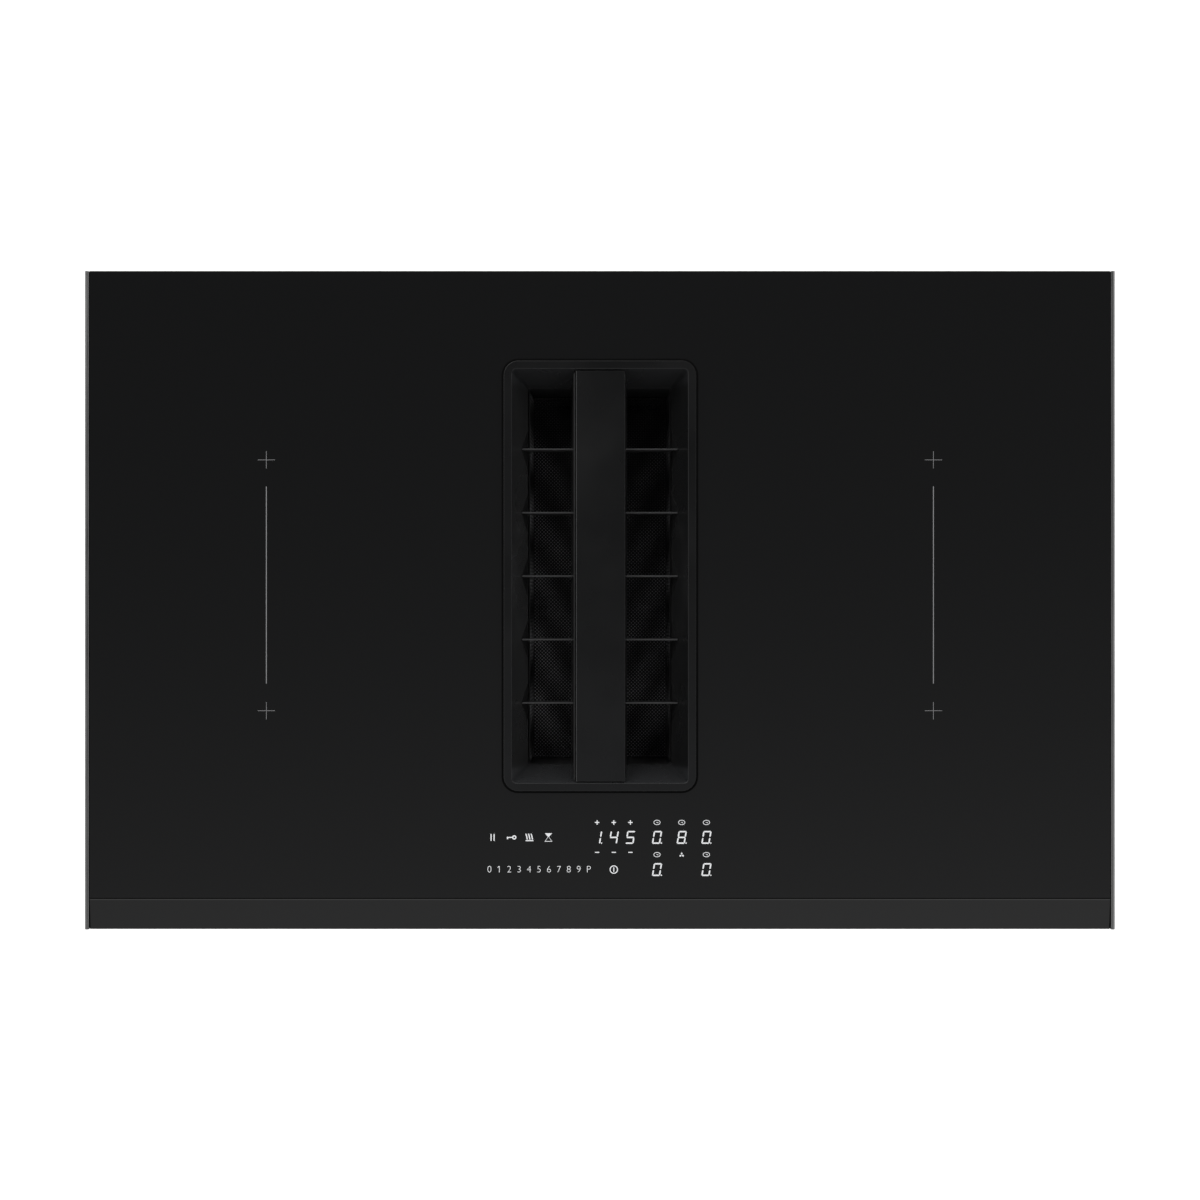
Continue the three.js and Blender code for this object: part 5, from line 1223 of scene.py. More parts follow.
class COOKTOP_OT_grille(Builder, bpy.types.Operator):
    """Builds the lift-off grille (bar cover, hollow bar, five cross fins) and the dark sheets of painted
    shadow under the fins
    """

    bl_idname = "cooktop.grille"
    bl_label = "Grille"

    cover_overhang = 0.5 * MM
    bright_width = 0.32 * MM
    gap_shade_out = 0.9 * MM
    gap_shade_in = 1 * MM
    gap_shade_thick = 0.15 * MM
    bar_corner = 0.8 * MM

    def build(self, sizes, finishes):
        self.cover(finishes)
        self.bar(finishes)
        self.fins(finishes)
        self.fin_shadows(finishes)
        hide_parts("grille_body")

    def cover(self, finishes):
        """The bar's cover, with a painted highlight on its left edge, and a dark strip along it that is
        painted shade of the gap.
        """
        low, high, _ = box("grille_cover")
        start = Vector((low.x, low.y - self.cover_overhang, low.z))
        end = Vector((BAR_WIDTH / 2, high.y, high.z))
        bm = bmesh.new()
        block(bm, start, end)
        left = [
            edge for edge in bm.edges
            if all(vert.co.x < start.x + FLUSH and vert.co.z > high.z - FLUSH for vert in edge.verts)
        ]
        # Painted highlight: the left edge's rounding takes the paler finish.
        for face in bevelled(bm, left, self.bright_width, 4)["faces"]:
            face.material_index = 1
        made = piece(
            bm, "bar_cover", "grille", finishes["coating"],
            replaced=["grille_cover"], edge=0.12 * MM,
        )
        made.data.materials.append(finishes["painted_highlight_edge"])
        # A dark strip along the cover's left edge: painted shade of the gap between the cover and the bar.
        bm = bmesh.new()
        top = on_glass() + BAR_TOP
        low_corner = (low.x - self.gap_shade_out, start.y, top)
        block(bm, low_corner, (low.x + self.gap_shade_in, end.y, top + self.gap_shade_thick))
        piece(bm, "cover_gap_shade", "grille", finishes["gasket"])

    def bar(self, finishes):
        """The hollow bar, open below, whose sides spread on the way down."""
        top = -BAR_TOP
        chain = (
            (-BAR_WALL, top + BAR_WALL),
            (-BAR_WALL, SLOPE_DEPTH),
            (-BAR_WALL, BAR_DEPTH - FLUSH),
            (0.0, BAR_DEPTH),
            (0.0, SLOPE_DEPTH),
            (0.0, top),
        )
        _, _, centre = opening()
        middle = (centre.x - BAR_LEDGE / 2, centre.y - BAR_LEDGE / 2)
        bm = bmesh.new()
        loft(bm, [self.ring(spread, depth) for spread, depth in chain], False, middle, 3)
        made = piece(
            bm, "grille_bar", "grille", finishes["dark"], edge=0.45 * MM, steps=3
        )
        sharpen_right(made)

    def ring(self, spread, depth):
        """One ring of the bar's skin: half sizes, corner and height."""
        _, y, _ = opening()
        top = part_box("vent_frame")[1].z - on_glass()
        half_x = (BAR_WIDTH + BAR_LEDGE) / 2 + BAR_DRAFT * (depth + top) / (BAR_DEPTH + top) + spread
        half_y = y - BAR_LEDGE / 2 - BAR_END_GAP - slope_inset(depth) + spread
        return half_x, half_y, self.bar_corner, on_glass() - depth

    def fins(self, finishes):
        """Five fins across the opening, whose ends follow the sloping walls."""
        x, _, _ = opening()
        glass = on_glass()
        lower, upper = x - SLOPE_RUN - FIN_SEAT, x - slope_inset(FIN_TOP) - FIN_SEAT
        top = glass - FIN_TOP
        bm = bmesh.new()
        for middle in self.fin_middles():
            block_round(bm, (0.0, middle, top - FIN_HEIGHT / 2), (lower, FIN_THICK / 2, FIN_HEIGHT / 2))
        cut(bm, (0.0, 0.0, glass - SLOPE_DEPTH), UP)
        for vert in bm.verts:
            if vert.co.z > top - NEAR:
                vert.co.x = math.copysign(upper, vert.co.x)
        piece(
            bm, "grille_fins", "grille", finishes["fins"],
            edge=0.4 * MM, steps=3, weld=False,
        )

    def fin_middles(self):
        """The places of the fins from front to rear, evenly spread over the opening."""
        _, y, centre = opening()
        pitch = 2 * (y - SLOPE_RUN) / (FIN_COUNT + 1)
        return [centre.y + (index - (FIN_COUNT - 1) / 2) * pitch for index in range(FIN_COUNT)]

    def fin_shadows(self, finishes):
        """Thin pointed dark sheets on the sloping walls, under the ends of the fins: painted shadow of the
        fins.
        """
        x, _, _ = opening()
        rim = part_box("vent_frame")[1].z - on_glass()
        slope = Vector((SLOPE_RUN, 0.0, SLOPE_DEPTH + rim)).normalized()
        bm = bmesh.new()
        for middle in self.fin_middles():
            for _, side in SIDES:
                up = Vector((side * slope.x, 0.0, slope.z))
                along = Vector((0.0, -side, 0.0))
                out = along.cross(up)
                turn = Matrix((along, up, out)).transposed().to_4x4()
                foot = Vector((side * (x - SLOPE_RUN), middle, on_glass() - SLOPE_DEPTH))
                place = Matrix.Translation(foot + up * SHADOW_HEIGHT / 3 + out * SHADOW_THICK / 2)
                sized = Matrix.Diagonal((SHADOW_HALF / TRIANGLE_HALF, SHADOW_HEIGHT / 1.5, 1.0, 1.0))
                made = bmesh.ops.create_circle(
                    bm, cap_ends=True, segments=3, radius=1.0, matrix=place @ turn @ sized
                )
                raise_faces(bm, list(made["verts"][0].link_faces), out * SHADOW_THICK)
        piece(bm, "fin_shadow_sheets", HOUSING, finishes["pad"], weld=False)


class COOKTOP_OT_filter(Builder, bpy.types.Operator):
    """Builds the grease filter: rolled frame, crossed wires, upright sides and the lifting strap"""

    bl_idname = "cooktop.filter"
    bl_label = "Grease Filter"

    wire_flat = 0.25 * MM
    wire_turns = (math.radians(45), math.radians(-45))
    mesh_drop = 0.2 * MM
    rim_drop = 0.7 * MM
    frame_sheet = 1.2 * MM
    frame_lip = 5 * MM
    outer_corner = 1.6 * MM
    inner_corner = 1 * MM
    flank_lean = 1.6 * MM
    flank_height = 50 * MM
    hem_in = 0.4 * MM
    hem_out = 0.2 * MM
    hem_down = 2 * MM
    hem_up = 0.5 * MM

    def build(self, sizes, finishes):
        low, high, centre = box("filter_frame")
        half_x, half_y = (high.x - low.x) / 2, (high.y - low.y) / 2
        top = high.z - self.mesh_drop
        bm = bmesh.new()
        self.wires(bm, sizes, low.xy, high.xy, centre.xy, top)
        piece(
            bm, "filter_mesh", "filter", finishes["weave"],
            replaced=["filter_net"], weld=False,
        )
        for name, side in SIDES:
            self.flank(sizes, finishes, name, side, half_x - self.hem_out, top)
        rim = high.z - self.rim_drop
        sheet, lip = self.frame_sheet, self.frame_lip
        bm = bmesh.new()
        loft(
            bm,
            [
                (half_x, half_y, self.outer_corner, low.z),
                (half_x, half_y, self.outer_corner, rim),
                (half_x - sheet, half_y - sheet, self.inner_corner, rim - FLUSH),
                (half_x - sheet, half_y - sheet, self.inner_corner, low.z + sheet),
                (half_x - lip, half_y - lip, self.inner_corner, low.z + sheet - FLUSH),
                (half_x - lip, half_y - lip, self.inner_corner, low.z + FLUSH),
            ],
            centre=(centre.x, centre.y),
        )
        piece(
            bm, "filter_edging", "filter", finishes["dark"],
            replaced=["filter_frame"], edge=0.3 * MM,
        )
        dress(finishes["mesh"], "filter_handle", edge=0.3 * MM)

    def wires(self, bm, sizes, low, high, centre, top):
        """Two sets of parallel flat wires, crossed and cut off round the mesh."""
        pitch, flat = sizes.mesh_pitch, self.wire_flat
        reach = (high - low).length
        count = int(reach / pitch / 2)
        half_size = Vector((reach, sizes.mesh_wire, flat)) / 2
        for turn in self.wire_turns:
            across = Vector((-math.sin(turn), math.cos(turn), 0.0))
            turned = Matrix.Rotation(turn, 4, "Z")
            for index in range(-count, count + 1):
                middle = Vector((*centre, top - flat / 2)) + across * pitch * index
                block_round(bm, middle, half_size, turned)
        for point, normal in (
            ((low.x, 0, 0), (-1, 0, 0)),
            ((high.x, 0, 0), (1, 0, 0)),
            ((0, low.y, 0), (0, -1, 0)),
            ((0, high.y, 0), (0, 1, 0)),
        ):
            rims = cut(bm, point, normal, clear_outer=True)
            bmesh.ops.holes_fill(bm, edges=rims, sides=4)

    def flank(self, sizes, finishes, name, side, edge, top):
        """An upright sheet of mesh along one long side, and the folded strip that holds it."""
        low, high, centre = box("filter_net")
        lean = math.atan2(self.flank_lean, self.flank_height)
        foot = Vector((side * (edge - self.flank_lean), centre.y, top))
        half_y = (high.y - low.y) / 2
        start, end = Vector((0.0, -half_y)), Vector((self.flank_height, half_y))
        bm = bmesh.new()
        self.wires(bm, sizes, start, end, Vector((0.0, 0.0)), 0.0)
        upright = Matrix.Rotation(-math.pi / 2 + side * lean, 4, "Y")
        bmesh.ops.transform(bm, matrix=Matrix.Translation(foot) @ upright, verts=bm.verts)
        piece(bm, f"filter_flank_{name}", "filter", finishes["flank_weave"], weld=False)
        left, right = sorted((side * (edge - self.hem_in), side * (edge + self.hem_out)))
        z = top + self.flank_height
        bm = bmesh.new()
        block(bm, (left, low.y, z - self.hem_down), (right, high.y, z + self.hem_up))
        piece(bm, f"filter_hem_{name}", "filter", finishes["dark"], edge=0.15 * MM)


class COOKTOP_OT_duct(Builder, bpy.types.Operator):
    """Finishes the inlet duct below the vent, with its stiffening ribs"""

    bl_idname = "cooktop.duct"
    bl_label = "Inlet Duct"

    flange = 8 * MM
    wall_corner = 7.3 * MM
    rib_rows = (8 * MM, 38 * MM, 3)
    rib_section = ((0.0, 0.0), (1.2 * MM, 0.3 * MM), (1.2 * MM, 1.5 * MM), (0.0, 1.8 * MM))

    def build(self, sizes, finishes):
        dress(finishes["plastic"], "inlet_duct", edge=sizes.mould_edge)
        low, high, centre = box("inlet_duct")
        half_x, half_y = high.x - self.flange, (high.y - low.y) / 2 - self.flange
        first, last, count = self.rib_rows
        bm = bmesh.new()
        for z in evenly(low.z + first, low.z + last, count):
            loft(
                bm,
                [
                    (half_x + out, half_y + out, self.wall_corner + out, z + rise)
                    for out, rise in self.rib_section
                ],
                centre=(centre.x, centre.y),
            )
        piece(
            bm, "inlet_duct_ribs", HOUSING, finishes["plastic"],
            edge=0.2 * MM, weld=False,
        )


# ---- Hob tray and what it holds ----


BEAD_ROUND = 0.49
BEAD_SLOPE = 1.2
BEAD_CROWN = 0.4


def bead(bm, start, end, width, rise, normal):
    """A stiffening bead with round ends, pressed out of a sheet along a straight line."""
    start, end, normal = Vector(start), Vector(end), Vector(normal)
    along = (end - start).normalized()
    made = rounded_face(bm, (end - start).length / 2, width / 2, width * BEAD_ROUND, 0.0, steps=4)
    turn = Matrix((along, normal.cross(along), normal)).transposed().to_4x4()
    place = Matrix.Translation((start + end) / 2) @ turn
    bmesh.ops.transform(bm, matrix=place, verts=list(made.verts))
    upper = raise_faces(bm, [made], normal * rise)
    bmesh.ops.inset_region(
        bm, faces=upper, thickness=rise * BEAD_SLOPE, depth=rise * BEAD_CROWN, use_even_offset=True
    )


class COOKTOP_OT_tray(Builder, bpy.types.Operator):
    """Finishes the sheet-metal hob tray with its beads and screws, its sealing tape and its clips"""

    bl_idname = "cooktop.tray"
    bl_label = "Hob Tray"

    side_rows = (-13 * MM, 11 * MM)
    side_reach = 120 * MM
    end_beads = ((40 * MM, 180 * MM), (210 * MM, 350 * MM))
    rear_row = 10 * MM
    screw_row = 9 * MM

    def build(self, sizes, finishes):
        low, high, _ = box("hob_tray")
        dress(finishes["zinc"], "hob_tray", edge=sizes.sheet_edge)
        dress(finishes["rubber"], "worktop_seal", edge=0.5 * MM)
        for row in ROWS:
            for name, _ in SIDES:
                dress(finishes["zinc"], f"worktop_clip_{row}_{name}", edge=0.2 * MM)
        self.beads(low, high, finishes)
        self.fasteners(low, high, finishes)

    def beads(self, low, high, finishes):
        """Beads along the four walls and the floor."""
        bm = bmesh.new()
        middle = (low.z + high.z) / 2
        for _, side in SIDES:
            wall, reach = side * high.x, self.side_reach
            for row in self.side_rows:
                ends = ((wall, -reach, middle + row), (wall, reach, middle + row))
                bead(bm, *ends, 6 * MM, 0.7 * MM, (side, 0.0, 0.0))
            for start, end in self.end_beads:
                ends = ((side * start, low.y, middle), (side * end, low.y, middle))
                bead(bm, *ends, 7 * MM, 0.9 * MM, (0.0, -1.0, 0.0))
                z = middle + self.rear_row
                ends = ((side * start, high.y, z), (side * end, high.y, z))
                bead(bm, *ends, 6 * MM, 0.9 * MM, (0.0, 1.0, 0.0))
        for x in evenly(-240 * MM, -140 * MM, 3):
            bead(bm, (x, -170 * MM, low.z), (x, 120 * MM, low.z), 9 * MM, 1.1 * MM, DOWN)
        x = -335 * MM
        bead(bm, (x, -70 * MM, low.z), (x, 150 * MM, low.z), 9 * MM, 1.1 * MM, DOWN)
        piece(bm, "tray_beads", HOUSING, finishes["zinc"], weld=False)

    def fasteners(self, low, high, finishes):
        """Screws round the tray's upper edge, and four in its floor."""
        top = high.z - self.screw_row
        for name, side in SIDES:
            places = [(side * high.x, y, top) for y in evenly(-200 * MM, 200 * MM, 5)]
            screws(f"tray_screws_{name}", finishes["screw"], places, (side, 0.0, 0.0))
        for name, y, facing in (("front", low.y, -1.0), ("rear", high.y, 1.0)):
            places = [(x, y, top) for x in evenly(-345 * MM, 345 * MM, 7)]
            screws(f"tray_screws_{name}", finishes["screw"], places, (0.0, facing, 0.0))
        places = [(x, y, low.z) for x in (-365 * MM, -125 * MM) for y in (-215 * MM, 215 * MM)]
        screws("tray_screws_floor", finishes["screw"], places, DOWN)


class COOKTOP_OT_zones(Builder, bpy.types.Operator):
    """Builds the wound coils and finishes their carriers, sensors and plates"""

    bl_idname = "cooktop.zones"
    bl_label = "Heating Zones"

    turns = 16
    eye = 24.5 * MM
    corner = 62 * MM
    wire_share = 0.9
    strap_width = 7 * MM
    strap_thick = 0.8 * MM
    screw_inset = 6 * MM

    def build(self, sizes, finishes):
        for name, _ in SIDES:
            low, high, centre = box(f"coil_plate_{name}")
            dress(finishes["aluminium"], f"coil_plate_{name}", edge=0.3 * MM)
            inset = self.screw_inset
            half_x, half_y = (high.x - low.x) / 2 - inset, (high.y - low.y) / 2 - inset
            places = corners_of(centre, half_x, half_y, high.z)
            screws(f"coil_plate_screws_{name}", finishes["screw"], places, UP, SMALL_SCREW)
            for row in ROWS:
                self.winding(f"{row}_{name}", finishes)
                dress(finishes["white_plastic"], f"coil_carrier_{row}_{name}", edge=0.5 * MM)
                dress(finishes["ceramic"], f"coil_sensor_{row}_{name}", edge=0.3 * MM)

    def winding(self, place, finishes):
        """Turns of wire that go over from a rounded square to a circle, and the straps over them."""
        low, high, centre = box(f"coil_winding_{place}")
        half_x, half_y = (high.x - low.x) / 2, (high.y - low.y) / 2
        step = 1.0 / self.turns
        bm = bmesh.new()
        for turn in range(self.turns):
            outer = self.turn(half_x, half_y, turn * step)
            inner = self.turn(half_x, half_y, (turn + self.wire_share) * step)
            levels = (low.z, high.z, high.z - FLUSH, low.z + FLUSH)
            sections = [(*size, z) for size, z in zip((outer, outer, inner, inner), levels)]
            loft(bm, sections, centre=(centre.x, centre.y))
        piece(
            bm, f"coil_turns_{place}", HOUSING, finishes["copper"],
            replaced=[f"coil_winding_{place}"], edge=0.9 * MM, weld=False,
        )
        reach = half_x - self.eye - 4 * MM
        half_size = Vector((reach, self.strap_width, self.strap_thick)) / 2
        bm = bmesh.new()
        for angle in round_about(4, 45.0):
            turned = Matrix.Rotation(angle, 4, "Z")
            away = turned @ Vector((self.eye + reach / 2, 0.0, 0.0))
            middle = Vector((centre.x, centre.y, high.z + 0.45 * MM)) + away
            block_round(bm, middle, half_size, turned)
        piece(
            bm, f"coil_straps_{place}", HOUSING, finishes["white_plastic"],
            edge=0.3 * MM,
        )

    def turn(self, half_x, half_y, share):
        """Half sizes and corner of a turn, from the outermost (0) to the eye (1)."""
        size_x, size_y = (half + (self.eye - half) * share for half in (half_x, half_y))
        corner = self.corner + (self.eye * 0.98 - self.corner) * share
        return size_x, size_y, min(corner, 0.99 * min(size_x, size_y))


class COOKTOP_OT_boards(Builder, bpy.types.Operator):
    """Builds the two power boards with their capacitors, chokes, relays and transistors"""

    bl_idname = "cooktop.boards"
    bl_label = "Power Boards"

    standoff = 6 * MM
    thickness = 1.6 * MM
    corner_inset = 7 * MM
    can_radius = 7.8 * MM
    can_height = 18.8 * MM

    # Shares of the board's width and depth, then half sizes and height in millimetres.
    white_blocks = (
        (0.3, 0.36, 9, 7, 15),
        (0.3, -0.36, 9, 7, 15),
        (0.05, 0.0, 8, 6, 12),
        (0.05, 0.43, 12, 3.2, 8),
        (0.05, -0.43, 12, 3.2, 8),
        (-0.14, 0.0, 5, 9, 14),
    )

    def build(self, sizes, finishes):
        for name, _ in SIDES:
            low, high, centre = box(f"power_board_{name}")
            self.board(name, low, high, centre, finishes)
            top = low.z + self.standoff + self.thickness
            width, depth = high.x - low.x, high.y - low.y
            self.capacitors(name, centre, top, width, depth, finishes)
            self.chokes(name, centre, top, width, depth, finishes)
            self.transistors(name, centre, top, width, finishes)
            self.relays(name, centre, top, width, depth, finishes)

    def board(self, name, low, high, centre, finishes):
        """The bare board on its four standoffs."""
        bm = bmesh.new()
        under = low.z + self.standoff
        block(bm, (low.x, low.y, under), (high.x, high.y, under + self.thickness))
        piece(
            bm, f"power_board_plate_{name}", HOUSING, finishes["board"],
            replaced=[f"power_board_{name}"], edge=0.2 * MM,
        )
        inset = self.corner_inset
        half_x, half_y = (high.x - low.x) / 2 - inset, (high.y - low.y) / 2 - inset
        bm = bmesh.new()
        for x, y, z in corners_of(centre, half_x, half_y, low.z):
            rod(bm, 3.4 * MM, (x, y, z), (x, y, under), 6)
            screw_head(bm, (x, y, under + self.thickness), UP)
        piece(bm, f"board_standoffs_{name}", HOUSING, finishes["screw"], weld=False)

    def capacitors(self, name, centre, top, width, depth, finishes):
        """A row of four sleeved cans with bare tops."""
        sleeves, caps = bmesh.new(), bmesh.new()
        x = centre.x - width * 0.32
        rise = top + self.can_height
        for y in evenly(centre.y - depth * 0.3, centre.y + depth * 0.3, 4):
            rod(sleeves, self.can_radius, (x, y, top), (x, y, rise), 28)
            rod(caps, self.can_radius - MM, (x, y, rise - 0.8 * MM), (x, y, rise + 0.4 * MM), 28)
        piece(
            sleeves, f"capacitors_{name}", HOUSING, finishes["sleeve"],
            edge=0.7 * MM, weld=False,
        )
        piece(
            caps, f"capacitor_tops_{name}", HOUSING, finishes["aluminium"],
            edge=0.2 * MM, weld=False,
        )

    def chokes(self, name, centre, top, width, depth, finishes):
        """A ferrite frame round a copper winding, twice."""
        frames, coils = bmesh.new(), bmesh.new()
        x = centre.x + width * 0.05
        for _, end in SIDES:
            y = centre.y + end * depth / 4
            for _, side in SIDES:
                limb = (x + side * 12.3 * MM, y, top + 8.8 * MM)
                block_round(frames, limb, (2.4 * MM, 9 * MM, 8.8 * MM))
            for z in (top + 2 * MM, top + 15.6 * MM):
                block_round(frames, (x, y, z), (11 * MM, 9 * MM, 2 * MM))
            for z in evenly(top + 5 * MM, top + 12.6 * MM, 5):
                rod(coils, 9.3 * MM, (x, y, z - 0.85 * MM), (x, y, z + 0.85 * MM), 24)
        piece(
            frames, f"choke_frames_{name}", HOUSING, finishes["ferrite"],
            edge=0.4 * MM, weld=False,
        )
        piece(
            coils, f"choke_coils_{name}", HOUSING, finishes["copper"],
            edge=0.6 * MM, weld=False,
        )

    def transistors(self, name, centre, top, width, finishes):
        """A row of switching transistors under a pressed clamp."""
        packages, clamp = bmesh.new(), bmesh.new()
        x = centre.x + width * 0.3
        for y in evenly(centre.y - 14 * MM, centre.y + 14 * MM, 3):
            block_round(packages, (x, y, top + 2.6 * MM), (10 * MM, 6 * MM, 2.6 * MM))
        middle = Vector((x, centre.y, top + 6 * MM))
        half_size = Vector((4 * MM, 20 * MM, 0.8 * MM))
        block_round(clamp, middle, half_size)
        for y in (centre.y - 7 * MM, centre.y + 7 * MM):
            screw_head(clamp, (x, y, middle.z + half_size.z), UP, MIDDLE_SCREW)
        piece(
            packages, f"transistors_{name}", HOUSING, finishes["plastic"],
            edge=0.3 * MM, weld=False,
        )
        piece(
            clamp, f"transistor_clamp_{name}", HOUSING, finishes["screw"],
            edge=0.2 * MM, weld=False,
        )

    def relays(self, name, centre, top, width, depth, finishes):
        """White relays, film capacitors and plug sockets round the board's edges."""
        bm = bmesh.new()
        for x, y, half_x, half_y, height in self.white_blocks:
            middle = (centre.x + x * width, centre.y + y * depth, top + height * MM / 2)
            block_round(bm, middle, Vector((half_x, half_y, height / 2)) * MM)
        piece(
            bm, f"relays_{name}", HOUSING, finishes["white_plastic"],
            edge=0.5 * MM, weld=False,
        )


class COOKTOP_OT_cooling(Builder, bpy.types.Operator):
    """Finishes the heat sinks and the two cooling fans, with their screws"""

    bl_idname = "cooktop.cooling"
    bl_label = "Cooling"

    def build(self, sizes, finishes):
        for name, _ in SIDES:
            dress(finishes["aluminium"], f"heat_sink_{name}", edge=0.2 * MM)
            dress(finishes["plastic"], f"cooling_fan_housing_{name}", edge=0.4 * MM)
            dress(finishes["plastic"], f"cooling_fan_rotor_{name}", edge=0.2 * MM)
            low, high, centre = box(f"cooling_fan_housing_{name}")
            inset = (high.x - low.x) / 2 - 5 * MM
            places = corners_of(centre, inset, inset, high.z)
            screws(f"fan_screws_{name}", finishes["screw"], places, UP, SMALL_SCREW)


class COOKTOP_OT_controls(Builder, bpy.types.Operator):
    """Finishes the touch control unit: light guide, board with its chips, and bracket"""

    bl_idname = "cooktop.controls"
    bl_label = "Touch Controls"

    # Place along the board and half sizes, in millimetres.
    chips = ((-60, 7, 7), (-20, 4, 3), (0, 4, 3), (40, 9, 4), (75, 4, 6))

    def build(self, sizes, finishes):
        dress(finishes["white_plastic"], "control_light_guide", edge=0.3 * MM)
        dress(finishes["board"], "control_board", edge=0.1 * MM)
        dress(finishes["plastic"], "control_bracket", edge=0.3 * MM)
        low, _, centre = box("control_board")
        bm = bmesh.new()
        for x, half_x, half_y in self.chips:
            middle = (centre.x + x * MM, centre.y, low.z - 0.8 * MM)
            block_round(bm, middle, Vector((half_x, half_y, 0.8)) * MM)
        piece(bm, "control_chips", HOUSING, finishes["plastic"], edge=0.1 * MM, weld=False)


class COOKTOP_OT_mains(Builder, bpy.types.Operator):
    """Finishes the mains entry: cable gland with its nut and grips, and terminal block with brass screws"""

    bl_idname = "cooktop.mains"
    bl_label = "Mains Entry"

    poles = 6
    grips = 14
    thread_radius = 10.1 * MM
    nut_height = 5.4 * MM

    def build(self, sizes, finishes):
        dress(finishes["plastic"], "cable_gland", edge=0.4 * MM)
        dress(finishes["ceramic"], "terminal_block", edge=0.3 * MM)
        low, high, centre = box("cable_gland")
        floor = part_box("hob_tray")[0].z
        radius = (high.x - low.x) / 2
        bm = bmesh.new()
        for angle in round_about(self.grips):
            across = Vector((radius * math.cos(angle), radius * math.sin(angle), 0.0))
            foot = Vector((centre.x, centre.y, low.z + 4 * MM)) + across
            rod(bm, 0.9 * MM, foot, foot + Vector((0.0, 0.0, 11 * MM)), 8)
            foot.z = floor + 1.3 * MM
            lug = foot + across * 0.08
            block(bm, lug - Vector((1.2, 1.2, 0.0)) * MM, lug + Vector((1.2, 1.2, 5.0)) * MM)
        foot, thread = floor + 1.1 * MM, self.thread_radius
        top = foot + self.nut_height
        nut = ((radius, foot), (radius, top), (thread, top - FLUSH), (thread, foot + FLUSH))
        loft(bm, [(r, r, r * 0.99, z) for r, z in nut], centre=(centre.x, centre.y))
        piece(
            bm, "gland_grips_and_nut", HOUSING, finishes["plastic"],
            edge=0.3 * MM, weld=False,
        )
        low, high, centre = box("terminal_block")
        pitch = (high.x - low.x) / self.poles
        y = centre.y + (high.y - low.y) / 5
        places = [(low.x + (index + 0.5) * pitch, y, high.z - 5 * MM) for index in range(self.poles)]
        screws("terminal_screws", finishes["brass"], places, UP)


# ---- Fan case and blower ----


